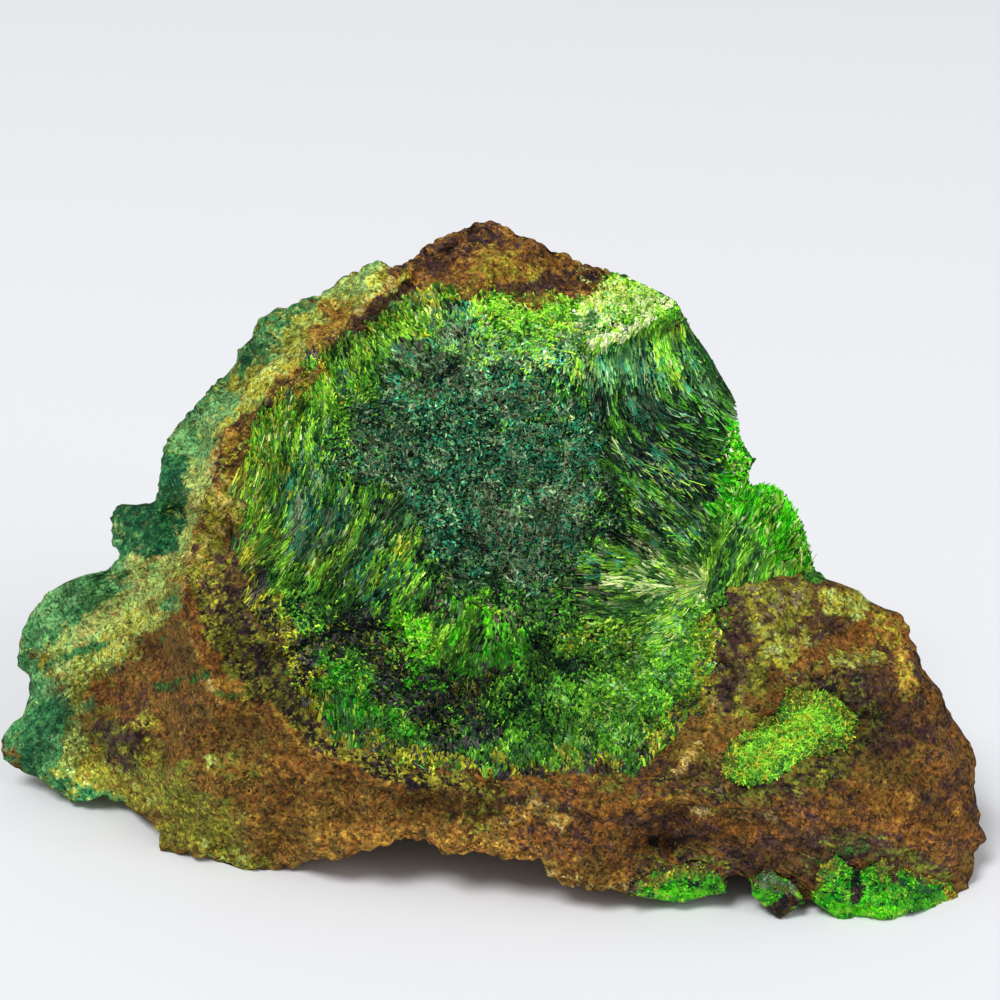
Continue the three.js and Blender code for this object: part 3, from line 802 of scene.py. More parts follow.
# Stains of the rock's front
ROCK_STAINS = stains_of(
    (SANDY, ((250, 790), (330, 800), (420, 820), (520, 830)), 48, 0.8),
    (tones(OLIVE=0.4, MUSTARD=0.25, UMBER=0.35),
     ((410, 790), (480, 805), (560, 800), (640, 790)), 22, 0.6, 0.9, 12),
    (tones(OLIVE=0.5, CELADON=0.2, UMBER=0.3), ((200, 770), (260, 765)), 16, 0.5, 1.0, 12),
    (DARK_RUST, ((560, 820), (700, 820), (850, 840), (950, 830)), 44, 0.8),
    (GREEN_SIDE, ((370, 285), (300, 322), (240, 372), (195, 430), (172, 500), (110, 590)), 50),
    (GREEN_SIDE, ((110, 590), (70, 625), (45, 680), (35, 740), (56, 775)), 50),
    (tones(LIMONITE=0.4, OLIVE=0.35, RUST=0.25), ((100, 690), (108, 740), (96, 770)), 22, 0.8),
    (tones(LIMONITE=0.5, UMBER=0.25, OLIVE=0.25), ((72, 700), (95, 745)), 26, 0.7),
    (OLIVE_BAND, ((400, 280), (352, 300), (310, 345), (255, 395), (212, 440)), 20, 0.9),
    (OLIVE_BAND, ((218, 440), (202, 490), (190, 545), (156, 590), (120, 640)), 20, 0.9),
    (OLIVE_BAND, ((60, 790), (100, 775), (150, 800), (190, 835), (240, 862)), 26, 0.75),
    (OLIVE_BAND, ((60, 668), (100, 650), (130, 620)), 22, 0.8),
    (PALE_STRIPE, ((60, 655), (100, 622), (140, 580), (176, 545), (196, 500), (206, 470)), 18),
    (OLIVE_BAND, ((200, 560), (190, 600), (206, 640)), 16, 0.6, 0.9, 12),
    (tones(CELADON=0.6, OLIVE=0.4), ((82, 665), (74, 700), (78, 745), (66, 785)), 11, 0.75),
    (DEEP_GREEN, ((115, 510), (150, 512), (160, 530), (130, 540)), 20, 0.9, 0.4),
    (DEEP_GREEN, ((176, 470), (172, 510), (158, 548)), 14, 0.8),
    (DEEP_GREEN, ((28, 750), (40, 720), (58, 712)), 24, 0.9, 0.5),
    (tones(MALACHITE=0.5, MOSS=0.5), ((34, 669), (56, 662), (72, 653), (102, 645)), 4, 0.9, 0.7, 6),
    (DEEP_GREEN, ((85, 800), (50, 780)), 9, 0.8),
    (DEEP_GREEN, ((246, 358), (262, 342)), 8, 0.8),
    (DEEP_GREEN, ((308, 300), (314, 296)), 6, 0.9),
    (tones(SEA_GREEN=0.7, MALACHITE=0.3), ((40, 610), (80, 592), (104, 580)), 16, 0.5),
    (tones(SEA_GREEN=0.8, MALACHITE=0.2), ((192, 445), (205, 420), (222, 398)), 18, 0.8),
    (tones(SEA_GREEN=0.5, CELADON=0.5), ((320, 292), (350, 282), (375, 268)), 10, 0.7),
    (tones(OCHRE=0.6, RUST=0.4), ((318, 338), (338, 318)), 15, 0.9),
    (tones(OCHRE=0.5, OLIVE=0.5), ((262, 358), (276, 346)), 9, 0.6),
    # Tan on the rim ridge: partly its own colour and partly painted highlight along its crest
    (tones(TAN=0.6, OCHRE=0.4), RIM_RIDGE[:9], 6, 0.75, 0.5, 9),
    (tones(UMBER=0.6, PLUM=0.4), ((318, 358), (270, 397), (224, 441), (212, 500), (190, 580)), 5),
    (PURPLE, ((470, 245), (430, 268), (395, 296), (356, 326), (335, 352)), 12, 0.85),
    (tones(OCHRE=0.4, MUSTARD=0.35, UMBER=0.25),
     ((330, 355), (282, 396), (240, 440), (226, 490), (214, 530), (206, 560)), 12, 0.85),
    (tones(MUSTARD=0.3, OLIVE=0.25, TAN=0.2, OCHRE=0.15, PLUM=0.1),
     ((222, 500), (214, 540), (204, 575), (206, 600)), 17, 0.85, 0.8, 10),
    (GRAINED_DARK, ((218, 606), (222, 640), (244, 670), (285, 700)), 26),
    (GRAINED_DARK, ((226, 566), (238, 600), (252, 640), (274, 672), (296, 700)), 15, 0.95, 0.9, 9),
    (GRAINED_DARK, ((285, 700), (308, 735), (350, 762), (410, 778), (480, 792)), 12, 0.9),
    (PURPLE, ((210, 584), (230, 590)), 8, 0.7),
    (SANDY, ((215, 700), (250, 712), (272, 730)), 13, 0.9),
    (tones(RUST=0.8, UMBER=0.2), ((186, 590), (194, 630), (214, 672)), 9, 0.8),
    (SANDY, ((278, 722), (320, 764), (352, 772), (395, 792), (470, 800)), 9, 0.9),
    (PEAK_MIX, ((420, 268), (480, 250), (540, 262), (590, 282)), 32),
    (tones(OCHRE=0.5, MUSTARD=0.3, RUST=0.2), ((488, 262), (520, 268)), 16, 0.8),
    (PURPLE, ((432, 262), (462, 240), (488, 232)), 13, 0.75),
    (PURPLE, ((500, 290), (540, 286), (560, 280)), 11, 0.6),
    (tones(UMBER=0.4, CELADON=0.3, SOOT=0.3), ((590, 276), (615, 282)), 11, 0.7, 0.9, 7),
    (tones(OLIVE=0.5, MUSTARD=0.5), ((430, 288), (470, 290), (560, 300)), 8, 0.6),
    (tones(MUSTARD=0.5, OLIVE=0.3, LIMONITE=0.2), ((130, 740), (170, 790), (220, 830)), 24, 0.6),
    (PURPLE, ((130, 700), (140, 742), (120, 760)), 13, 0.6),
    (DARK_RUST, ((150, 660), (190, 700), (180, 740)), 24, 0.55),
    (tones(PLUM=0.4, UMBER=0.3, RUST=0.3), ((116, 690), (136, 704)), 15, 0.8),
    (tones(PLUM=0.5, SOOT=0.2, OLIVE=0.3), ((110, 736), (134, 742), (130, 757)), 15, 0.85),
    (tones(OCHRE=0.8, RUST=0.2),
     ((268, 698), (284, 720), (296, 744), (320, 757), (344, 763)), 3, 0.7, 0.5, 9),
    (tones(MOSS=0.75, FOREST=0.25), ((154, 682), (166, 688), (182, 678), (204, 674)), 3.5, 0.8, 0.8, 6),
    (tones(MOSS=0.75, FOREST=0.25), ((216, 692), (228, 696), (242, 690)), 3.5, 0.7, 0.8, 6),
    (tones(RUST=0.6, OCHRE=0.4), ((214, 682), (238, 684)), 6, 0.9, 0.6, 9),
    (LOBE_MIX, ((740, 610), (800, 610), (860, 650), (900, 700)), 44),
    (tones(OLIVE=0.45, MUSTARD=0.3, HOST_GREY=0.25),
     ((730, 605), (790, 600), (770, 650), (735, 690)), 26, 0.65, 1.0, 10),
    (DARK_RUST, ((900, 650), (940, 730), (965, 800)), 34, 0.8),
    (PURPLE, ((735, 610), (728, 660), (725, 710)), 15, 0.75),
    (tones(MUSTARD=0.6, CELADON=0.4), ((838, 598), (868, 610)), 14, 0.7, 0.9, 9),
    (tones(MUSTARD=0.6, CELADON=0.4), ((760, 630), (775, 650), (872, 655)), 10, 0.7, 0.9, 9),
    (tones(RUST=0.7, OCHRE=0.3), ((800, 655), (840, 640), (905, 625)), 14, 0.8),
    (tones(OCHRE=0.6, MUSTARD=0.25, RUST=0.15), ((880, 622), (898, 640), (910, 690)), 11, 0.8),
    (tones(RUST=0.75, OCHRE=0.25), ((870, 800), (920, 812), (955, 815)), 16, 0.75),
    (tones(PLUM=0.5, UMBER=0.3, RUST=0.2), ((868, 684), (885, 712), (882, 745)), 15, 0.8, 0.9, 12),
    (tones(SOOT=0.4, PLUM=0.35, OLIVE=0.25),
     ((716, 790), (740, 792), (800, 775), (850, 760), (872, 722), (850, 690), (790, 678)), 13, 0.7),
    (tones(OLIVE=0.5, MUSTARD=0.25, HOST_GREY=0.25),
     ((715, 795), (760, 795), (830, 770), (700, 760)), 13, 0.5, 1.0, 10),
    (PURPLE, ((640, 770), (690, 770), (800, 800)), 13, 0.35, 0.9),
    (tones(OCHRE=0.8, TAN=0.2), LOBE_RIDGE, 3.5, 0.8, 0.4, 9),
    (tones(FOREST=0.35, LEAF=0.3, MOSS=0.35),
     ((640, 282), (676, 301), (720, 374), (744, 446), (752, 488), (796, 513), (813, 571)), 16, 1.0, 0.3),
    (tones(TAN=0.4, OCHRE=0.3, RUST=0.3), ((560, 884), (600, 888), (640, 884)), 9, 0.8),
    (tones(RUST=0.6, OCHRE=0.4), ((600, 810), (660, 800), (740, 806)), 8, 0.8),
    (PURPLE, ((500, 800), (560, 812), (620, 822), (700, 830)), 9, 0.6),
    # Painted shade: black in the hollow under the base ledge, and its shadow line to the right
    (tones(SOOT=0.8, UMBER=0.2), ((650, 841), (668, 844), (692, 842)), 6, 0.85, 0.6, 9),
    # Painted shade: a small pit drawn as a dark spot
    (tones(SOOT=0.7, PLUM=0.3), ((925, 798), (927, 802)), 6, 0.9, 0.4, 9),
    (PURPLE, ((740, 862), (790, 852), (830, 845), (880, 850)), 16, 0.8),
    (tones(SOOT=0.14, PLUM=0.36, OLIVE=0.5),
     ((630, 884), (645, 867), (668, 858), (702, 856), (724, 868), (732, 884)), 9, 0.8, 0.9, 9),
    (tones(SOOT=0.14, PLUM=0.36, OLIVE=0.5),
     ((808, 880), (816, 848), (840, 843), (868, 840), (894, 846), (918, 856), (946, 878)), 9, 0.8, 0.9,
      9),
    (tones(PLUM=0.5, UMBER=0.5), ((785, 842), (815, 862), (838, 846)), 20, 0.7),
    (tones(OLIVE=0.6, MUSTARD=0.25, TAN=0.15), ((670, 784), (700, 793), (706, 772)), 18, 0.4, 0.9, 10),
    (tones(TAN=0.6, HOST_GREY=0.4), ((690, 812), (716, 811)), 4, 0.6, 0.9, 9),
    (tones(TAN=0.6, HOST_GREY=0.4), ((742, 815), (774, 817)), 5, 0.6, 0.9, 9),
    (tones(MOSS=0.6, OLIVE=0.4), ((812, 862), (850, 850), (905, 856)), 6, 0.4, 1.0, 9),
    (tones(TAN=0.3, OCHRE=0.7), ((490, 820), (530, 812), (560, 818)), 10, 0.3, 0.9, 9),
)

# Painted light and painted shade on the rock, such as the shadow line under the base ledge
ROCK_PAINTED_LIGHT = painted_lights_of(
    (((224, 505), (212, 545), (204, 600)), 28, 0.3),
    (((380, 290), (420, 290)), 20, 0.45),
    (((195, 700), (215, 740)), 30, 0.25),
    (((130, 665), (150, 720)), 32, 0.35),
    (((60, 655), (95, 650)), 26, 0.25),
    (((62, 778), (95, 795)), 30, 0.6),
    (((215, 405), (190, 440)), 24, 0.25),
    (((240, 400), (290, 365), (340, 320)), 20, 0.2),
    (((75, 600), (100, 608)), 24, -0.28),
    (((72, 722), (95, 720)), 26, -0.35),
    (((20, 715), (12, 750)), 24, 0.3),
    (((95, 788), (150, 790)), 32, 0.3),
    (((235, 640), (262, 680), (290, 705)), 26, -0.4),
    (((240, 790), (330, 798), (420, 803), (500, 802)), 32, -0.32),
    (((300, 850), (370, 840), (440, 840), (500, 844), (570, 866)), 24, 0.5),
    # Painted shadow under the base ledge
    (((640, 845), (700, 842)), 12, -0.3),
    (((740, 850), (800, 845), (830, 832)), 30, 0.3),
    (((850, 700), (882, 730), (850, 762)), 36, -0.2),
    (((925, 725),), 24, -0.15),
    (((885, 752), (905, 775)), 24, -0.3),
    (((905, 650), (908, 690)), 18, 0.3),
    (((728, 850), (775, 852)), 14, -0.2),
    (((800, 815), (860, 812)), 20, 0.2),
    (((890, 835), (950, 850)), 32, 0.3),
)

# Stains of the rock's back
BACK_STAINS = stains_of(
    (BACK_STAIN, ((60, 660), (120, 700), (220, 600), (260, 420)), 90, 0.8, 0.9, 40),
    (tones(PLUM=0.5, SOOT=0.2, UMBER=0.3), ((420, 400), (560, 500), (600, 640)), 80, 0.6, 1.0, 30),
    (tones(RUST=0.6, OCHRE=0.4), ((360, 760), (560, 760), (820, 700)), 70, 0.6, 1.0, 30),
    (BACK_STAIN, ((700, 450), (800, 640)), 50, 0.5, 1.0, 30),
)

# Mixes of the crystals
HEART = tones(INK=0.18, FOREST=0.12, TEAL=0.24, GREY_GREEN=0.28, TAUPE=0.08, MOSS=0.1)
TEAL_HEART = tones(INK=0.22, TEAL=0.4, GREY_GREEN=0.16, FOREST=0.12, SEA_GREEN=0.1)
ASHEN = tones(GREY_GREEN=0.38, TAUPE=0.16, INK=0.16, MOSS=0.18, TEAL=0.12)
DEEP_SHADE = tones(INK=0.26, FOREST=0.2, LEAF=0.2, MOSS=0.16, TEAL=0.1, GREY_GREEN=0.08)
MEADOW = tones(LEAF=0.36, LIME=0.16, MOSS=0.3, FOREST=0.18)
THICKET = tones(FOREST=0.26, INK=0.2, LEAF=0.26, MOSS=0.22, LIME=0.06)
BRIGHT = tones(LIME=0.42, LEAF=0.3, GOLD=0.12, PALE=0.03, MOSS=0.13)
GREEN_GOLD = tones(GOLD=0.4, OLIVE=0.24, LEAF=0.14, PLUM_GREY=0.22)
SPECKLED = tones(PLUM_GREY=0.36, INK=0.2, GOLD=0.26, OLIVE=0.18)
STREAKY = tones(LIME=0.12, LEAF=0.2, INK=0.26, FOREST=0.22, GREY_GREEN=0.12, TEAL=0.08)
BLADES = tones(LIME=0.34, CELADON=0.12, LEAF=0.3, PALE=0.04, SEA_GREEN=0.2)
GLOWING = tones(SPRING=0.34, EMERALD=0.36, LIME=0.16, FOREST=0.08, PALE=0.06)
SHADED = tones(INK=0.34, PLUM_GREY=0.3, FOREST=0.16, OLIVE=0.2)
PALE_MIX = tones(PALE=0.48, LIME=0.22, CELADON=0.2, SEA_GREEN=0.1)
SOFT_GREEN = tones(SEA_GREEN=0.16, LIME=0.22, LEAF=0.3, MOSS=0.2, CELADON=0.12)

# Stains of the crystal mat
MAT_STAINS = stains_of(
    (tones(LIME=0.34, LEAF=0.2, CELADON=0.18, GOLD=0.14, MOSS=0.14),
     ((380, 318), (440, 306), (520, 308), (590, 300)), 34, 0.88),
    (HEART,
     ((392, 450), (436, 408), (500, 396), (580, 408), (612, 470), (560, 540), (470, 556), (404, 516),
      (430, 460), (540, 470)), 62, 0.97, 0.6, 26),
    (TEAL_HEART, ((440, 420), (480, 450), (430, 520), (520, 560)), 26, 0.8, 0.9, 20),
    (TEAL_HEART, ((560, 380), (592, 430), (560, 480)), 32, 0.85, 0.8, 20),
    (ASHEN, ((425, 366), (480, 355), (540, 372)), 28, 0.85, 0.7, 20),
    (ASHEN, ((500, 520), (560, 500), (520, 560)), 26, 0.7, 0.9, 20),
    (tones(SEA_GREEN=0.3, GREY_GREEN=0.22, LIME=0.22, TEAL=0.14, INK=0.12),
     ((470, 345), (545, 345), (585, 352)), 20, 0.8, 0.8),
    (DEEP_SHADE, ((620, 372), (660, 370), (700, 410), (680, 460), (630, 450)), 52, 1.0, 0.5),
    (TEAL_HEART, ((612, 376), (645, 405)), 26, 0.75, 0.8),
    (tones(SEA_GREEN=0.32, TEAL=0.22, LIME=0.1, GREY_GREEN=0.22, INK=0.14),
     ((600, 356), (655, 352), (692, 376)), 24, 0.75, 0.9, 10),
    (tones(FOREST=0.34, MOSS=0.3, GREY_GREEN=0.2, EMERALD=0.16),
     ((700, 345), (722, 385), (735, 420)), 14, 0.9),
    (STREAKY, ((700, 495), (655, 515), (620, 540)), 42, 0.95),
    (tones(LIME=0.4, LEAF=0.4, SEA_GREEN=0.2), ((656, 335), (664, 352), (676, 372)), 9, 0.85, 0.6, 9),
    (BLADES, ((590, 318), (590, 350), (578, 372)), 8, 0.7, 0.8, 9),
    (STREAKY, ((270, 470), (320, 470), (350, 560), (400, 570)), 40, 0.7, 0.9),
    (HEART, ((285, 545), (300, 505), (325, 560), (355, 590)), 20, 0.8, 0.9),
    (HEART, ((330, 400), (345, 380)), 14, 0.5, 0.9),
    (BRIGHT, ((350, 352), (300, 400), (268, 450), (252, 500)), 30, 0.7, 0.8),
    (BRIGHT, ((296, 400), (266, 440), (258, 462)), 22, 0.8, 0.8),
    (BRIGHT, ((250, 470), (262, 520), (270, 560), (300, 572)), 13, 0.65, 0.9),
    (BRIGHT, ((312, 590), (348, 540), (366, 505)), 8, 0.75, 0.8),
    (BRIGHT, ((372, 590), (396, 560), (414, 535)), 9, 0.85, 0.6),
    (BRIGHT, ((390, 335), (430, 330)), 10, 0.7, 0.8),
    (GREEN_GOLD, ((345, 335), (290, 385), (250, 425), (238, 470), (236, 530), (246, 575)), 11, 0.85, 0.7),
    (THICKET, ((490, 660), (560, 665), (520, 720), (450, 730)), 46, 0.95),
    (tones(INK=0.26, TAUPE=0.22, MOSS=0.24, FOREST=0.16, LEAF=0.12),
     ((440, 592), (520, 606), (580, 600)), 28, 0.85, 0.8),
    (THICKET, ((300, 600), (350, 612), (380, 600)), 20, 0.8, 0.8),
    (SPECKLED, ((250, 598), (266, 622), (300, 650), (312, 690), (300, 715)), 24, 1.0),
    (SHADED, ((325, 645), (360, 632), (400, 640), (412, 665)), 19, 0.92, 0.7),
    (SHADED, ((402, 690), (445, 702), (480, 684)), 24, 0.9, 0.7),
    (SHADED, ((440, 745), (480, 735)), 14, 0.6, 0.9),
    (tones(LEAF=0.4, EMERALD=0.14, MOSS=0.3, FOREST=0.16),
     ((332, 680), (345, 718), (400, 735)), 24, 0.9, 0.7),
    (SOFT_GREEN, ((600, 712), (645, 672), (692, 640)), 36, 0.9, 0.7),
    (BRIGHT, ((572, 650), (600, 632)), 12, 0.8, 0.7),
    (tones(SPRING=0.3, EMERALD=0.2, LEAF=0.3, MOSS=0.2),
     ((424, 660), (475, 668), (518, 650)), 17, 0.85, 0.8),
    (tones(LIME=0.5, SPRING=0.25, LEAF=0.25),
     ((402, 634), (432, 646), (462, 636), (490, 618)), 17, 0.9, 0.8),
    (GREEN_GOLD, ((330, 745), (395, 762), (450, 772), (520, 776), (600, 772)), 16, 0.95, 0.7),
    (GREEN_GOLD, ((640, 758), (680, 722), (708, 680), (714, 630)), 12, 0.8, 0.8),
    (tones(PLUM_GREY=0.6, UMBER=0.4), ((440, 782), (500, 784), (560, 782), (620, 776)), 9, 0.7, 1.0, 9),
    (MEADOW, ((700, 565), (716, 545), (730, 520)), 22, 0.9),
    (GLOWING, ((762, 500), (785, 525), (800, 562)), 30, 1.0, 0.5),
    (GLOWING, ((733, 430), (745, 462), (735, 492), (722, 505)), 17, 1.0, 0.5),
    (tones(LIME=0.5, PALE=0.2, LEAF=0.3), ((730, 562), (780, 572)), 16, 0.6, 0.9),
    (PALE_MIX, ((620, 580), (645, 585), (690, 592)), 9, 0.65, 0.9, 10),
    (PALE_MIX, ((640, 544), (664, 564), (692, 588)), 7, 0.6, 0.9, 10),
    (PALE_MIX, ((690, 585),), 15, 0.7, 0.7),
    (BRIGHT, ((625, 640), (690, 604)), 13, 0.75, 0.8),
    # Painted shade: black in the crack that runs into the mat
    (tones(INK=0.6, PLUM_GREY=0.4), FACE_CRACK, 4, 0.9, 0.5, 9),
    (tones(INK=1.0), ((454, 367), (434, 388)), 2.5, 0.9, 0.4, 9),
    (tones(INK=1.0), ((395, 466), (420, 445)), 2.5, 0.9, 0.4, 9),
    (BRIGHT, ((560, 318), (600, 306), (640, 292), (674, 304)), 26, 0.95, 0.5),
    # Pale crest plane: partly the crystals' own colour and partly painted light where the crest faces up
    (tones(PALE=0.5, LIME=0.18, CELADON=0.16, SEA_GREEN=0.08, LEAF=0.08),
     ((598, 314), (636, 300), (656, 301)), 22, 1.0, 0.5, 10),
    (tones(CELADON=0.5, LIME=0.2, OLIVE=0.3), ((588, 300), (620, 288)), 9, 0.8, 0.8, 9),
    (tones(LIME=0.36, SPRING=0.14, LEAF=0.5), ((670, 308), (658, 326), (662, 346)), 9, 0.95, 0.6, 9),
    (tones(GREY_GREEN=0.4, TAUPE=0.3, MOSS=0.3), ((566, 338), (590, 324), (604, 328)), 10, 0.8, 0.8, 9),
    # Pale line along the crest's edge: painted highlight
    (tones(PALE=0.8, LIME=0.2), ((594, 341), (620, 333), (648, 319), (668, 304)), 4.5, 0.95, 0.5, 9),
)

# Painted light and painted shade on the crystal mat, such as the light on its up-facing crest, and calmer
# stretches
MAT_PAINTED_LIGHT = painted_lights_of(
    (((470, 318), (540, 312), (590, 318)), 34, 0.55, 0.5),
    (((660, 470), (692, 482)), 30, 0.4),
    (((490, 540), (560, 548)), 50, -0.35),
    (((370, 420), (400, 440)), 40, -0.3),
    (((610, 420),), 30, 0.2),
    # Painted light on the up-facing crest
    (((598, 308), (640, 298), (660, 300)), 32, 0.65, 0.9),
    (((555, 352), (620, 350), (690, 362)), 34, 0.5),
    (((490, 368), (560, 362)), 34, 0.6),
    (((262, 455), (262, 430), (290, 400), (325, 372)), 24, 0.4),
    (((262, 470), (256, 520), (266, 570)), 32, -0.3),
    (((620, 368), (690, 372)), 30, 0.2),
    (((560, 430),), 36, 0.25),
    (((390, 425),), 30, -0.2),
    (((615, 480), (640, 500)), 34, -0.08),
    (((612, 545), (640, 565)), 26, -0.1),
    (((615, 605), (650, 618)), 30, -0.3),
    (((320, 530), (330, 590), (345, 620)), 38, -0.38),
    (((370, 668), (440, 674), (520, 672), (450, 712)), 40, -0.3),
    (((440, 642), (480, 634), (496, 624)), 22, 0.25),
    (((448, 598),), 26, 0.6),
    (((380, 600), (372, 560)), 24, -0.25),
    (((240, 430), (252, 410)), 16, 0.3),
    (((550, 660), (630, 655)), 34, -0.5, 0.3),
    (((262, 640), (290, 690)), 30, -0.35),
    (((665, 650), (690, 672), (660, 690)), 36, 0.4, 0.9),
    (((470, 745), (550, 735), (620, 715)), 56, 0.0, 0.8),
    (((350, 715), (400, 735)), 40, -0.22, 0.5),
    (((640, 600), (690, 600)), 36, 0.0, 0.6),
    (((745, 560), (790, 560), (775, 510)), 44, 0.1, 0.8),
)

# Stains of the shoulder patch
PATCH_STAINS = stains_of(
    (tones(LIME=0.5, LEAF=0.26, GOLD=0.24), ((745, 765), (790, 735), (825, 712)), 30, 0.9, 0.6),
    (tones(OLIVE=0.45, MOSS=0.3, GOLD=0.25),
     ((722, 770), (740, 742), (780, 700), (845, 700), (850, 735), (800, 762)), 7, 0.8, 0.8),
)
# Painted light on the shoulder patch, which is calmer too
PATCH_PAINTED_LIGHT = painted_lights_of((((745, 765), (790, 735), (825, 712)), 60, 0.12, 0.9))

# Growth of the crystals: place, heading in degrees, length and width in millimetres
MAT_MARKS = (
    (275, 450, 88, 2.3, 0.19), (250, 505, 70, 2.2, 0.18), (265, 540, 52, 2.2, 0.19),
    (258, 578, 52, 2.0, 0.19), (300, 420, 84, 2.2, 0.19), (330, 560, 62, 2.4, 0.2),
    (300, 500, 80, 2.3, 0.2), (385, 525, 62, 2.6, 0.2), (395, 580, 56, 2.2, 0.24),
    (465, 640, 66, 2.2, 0.25), (512, 636, 100, 1.9, 0.24), (435, 312, 110, 1.8, 0.2),
    (400, 350, 130, 1.8, 0.19), (340, 360, 112, 2.0, 0.19), (520, 360, 268, 1.5, 0.17),
    (578, 400, 260, 1.8, 0.17), (622, 372, 275, 3.0, 0.18), (655, 350, 285, 3.0, 0.18),
    (688, 365, 296, 3.0, 0.18), (712, 405, 308, 2.4, 0.18), (675, 480, 315, 3.2, 0.2),
    (640, 470, 318, 2.8, 0.19), (700, 500, 312, 2.6, 0.2), (680, 425, 342, 2.6, 0.18),
    (640, 420, 300, 1.8, 0.17), (615, 580, 174, 2.8, 0.19), (655, 553, 146, 2.4, 0.19),
    (660, 620, 204, 2.2, 0.2), (620, 640, 205, 1.6, 0.22), (545, 612, 120, 1.5, 0.24),
    (630, 668, 120, 1.4, 0.24), (330, 712, 94, 1.9, 0.22), (300, 650, 80, 0.8, 0.22),
    (440, 730, 92, 1.6, 0.2), (545, 745, 90, 1.75, 0.19), (640, 735, 84, 1.7, 0.19),
    (700, 640, 76, 1.3, 0.22), (740, 530, 66, 2.1, 0.2), (785, 540, 76, 2.0, 0.2),
    (735, 452, 20, 1.2, 0.24), (560, 322, 240, 1.1, 0.19), (620, 310, 200, 1.2, 0.18),
    (660, 300, 210, 1.2, 0.17), (450, 430, 200, 0.7, 0.17), (500, 480, 30, 0.6, 0.17),
    (560, 530, 290, 0.6, 0.17), (480, 560, 70, 0.8, 0.17), (400, 460, 110, 0.8, 0.17),
    (560, 440, 268, 0.8, 0.16), (600, 500, 318, 0.9, 0.17), (430, 500, 75, 0.8, 0.17),
    (360, 440, 120, 0.9, 0.17), (520, 580, 60, 0.8, 0.18), (400, 660, 80, 0.9, 0.19),
)
PATCH_MARKS = (
    (740, 770, 60, 0.9, 0.2), (790, 735, 20, 1.0, 0.2), (835, 715, 340, 0.9, 0.2),
    (800, 700, 90, 0.9, 0.2), (790, 765, 150, 0.9, 0.2),
)
EDGE_MARKS = (
    (650, 885, 250, 0.8, 0.22), (700, 885, 280, 0.8, 0.22), (775, 895, 270, 0.8, 0.22),
    (830, 890, 255, 0.8, 0.22), (880, 895, 270, 0.9, 0.22), (935, 892, 290, 0.8, 0.22),
)

# Mixes and stains of the edge crusts
EDGE_GLOW = tones(SPRING=0.2, EMERALD=0.3, FOREST=0.16, LEAF=0.24, LIME=0.1)
TOP_OLIVE = tones(OLIVE=0.44, GOLD=0.26, MOSS=0.18, UMBER=0.12)
RIM_SPECKS = tones(UMBER=0.36, PLUM_GREY=0.28, OLIVE=0.36)
# Painted light on the edge crusts, which are calmer too
EDGE_PAINTED_LIGHT = painted_lights_of((((620, 885), (960, 890)), 90, 0.1, 0.95))
EDGE_STAINS = stains_of(
    (TOP_OLIVE, ((634, 888), (658, 876), (690, 864), (716, 872)), 9, 0.9, 0.7, 9),
    (TOP_OLIVE, ((816, 884), (823, 862), (838, 866)), 8, 0.95, 0.6, 9),
    (TOP_OLIVE, ((861, 853), (868, 866), (886, 856), (882, 872)), 8, 0.9, 0.6, 9),
    (TOP_OLIVE, ((905, 864), (914, 869), (930, 878)), 8, 0.9, 0.6, 9),
    (RIM_SPECKS,
     ((630, 890), (645, 874), (665, 865), (692, 860), (715, 866), (727, 880)), 5, 0.8, 0.9, 7),
    (RIM_SPECKS, ((752, 878), (772, 869), (790, 877), (802, 892)), 5, 0.7, 0.9, 7),
    (RIM_SPECKS, ((813, 886), (818, 856), (834, 852), (846, 868)), 5, 0.8, 0.9, 7),
    (RIM_SPECKS, ((860, 852), (886, 850), (906, 858), (926, 870), (954, 888)), 5, 0.8, 0.9, 7),
    (tones(PLUM=0.5, UMBER=0.3, OLIVE=0.2), ((893, 850), (894, 876)), 7, 0.95, 0.7, 7),
    (tones(GREY_GREEN=0.5, MOSS=0.3, OLIVE=0.2), ((768, 876), (786, 888)), 10, 0.95, 0.6, 9),
    (tones(SPRING=0.7, LIME=0.3), ((832, 908), (870, 914), (895, 912)), 7, 0.9, 0.7, 9),
    (tones(SPRING=0.7, LIME=0.3), ((660, 894), (705, 892)), 5, 0.8, 0.7, 9),
    (tones(GOLD=0.5, RUST=0.5), ((950, 893), (956, 896)), 10, 0.9, 0.6, 9),
    (tones(SOOT=0.6, UMBER=0.4), ((778, 912), (792, 902)), 9, 1.0, 0.5, 9),
    (tones(PLUM=0.4, INK=0.6), ((858, 866), (854, 882), (858, 897)), 6, 1.0, 0.5, 9),
    (tones(MOSS=0.5, DEEP_MALACHITE=0.5), ((905, 884), (930, 891)), 7, 0.6, 0.8, 9),
    (tones(INK=0.6, FOREST=0.4), ((690, 885), (698, 884)), 3.5, 0.9, 0.5, 9),
)


class Wire:
    """A socket of a shader tree that takes part in sums like a number."""

    def __init__(self, bench: "Bench", socket: bpy.types.NodeSocket) -> None:
        """Hold a socket and the bench that its tree is built on."""
        self.bench = bench
        self.socket = socket

    def sum_of(self, operation: str, first: "Wire | float", second: "Wire | float") -> "Wire":
        """Add the Math node of an operation on two values."""
        node = self.bench.add("ShaderNodeMath", {"operation": operation}, {0: first, 1: second})
        return Wire(self.bench, node.outputs[0])

    def __add__(self, other: "Wire | float") -> "Wire":
        """This value plus another."""
        return self.sum_of("ADD", self, other)

    def __radd__(self, other: float) -> "Wire":
        """A number plus this value."""
        return self.sum_of("ADD", other, self)

    def __sub__(self, other: "Wire | float") -> "Wire":
        """This value less another."""
        return self.sum_of("SUBTRACT", self, other)

    def __rsub__(self, other: float) -> "Wire":
        """A number less this value."""
        return self.sum_of("SUBTRACT", other, self)

    def __mul__(self, other: "Wire | float") -> "Wire":
        """This value times another."""
        return self.sum_of("MULTIPLY", self, other)

    def __rmul__(self, other: float) -> "Wire":
        """A number times this value."""
        return self.sum_of("MULTIPLY", other, self)


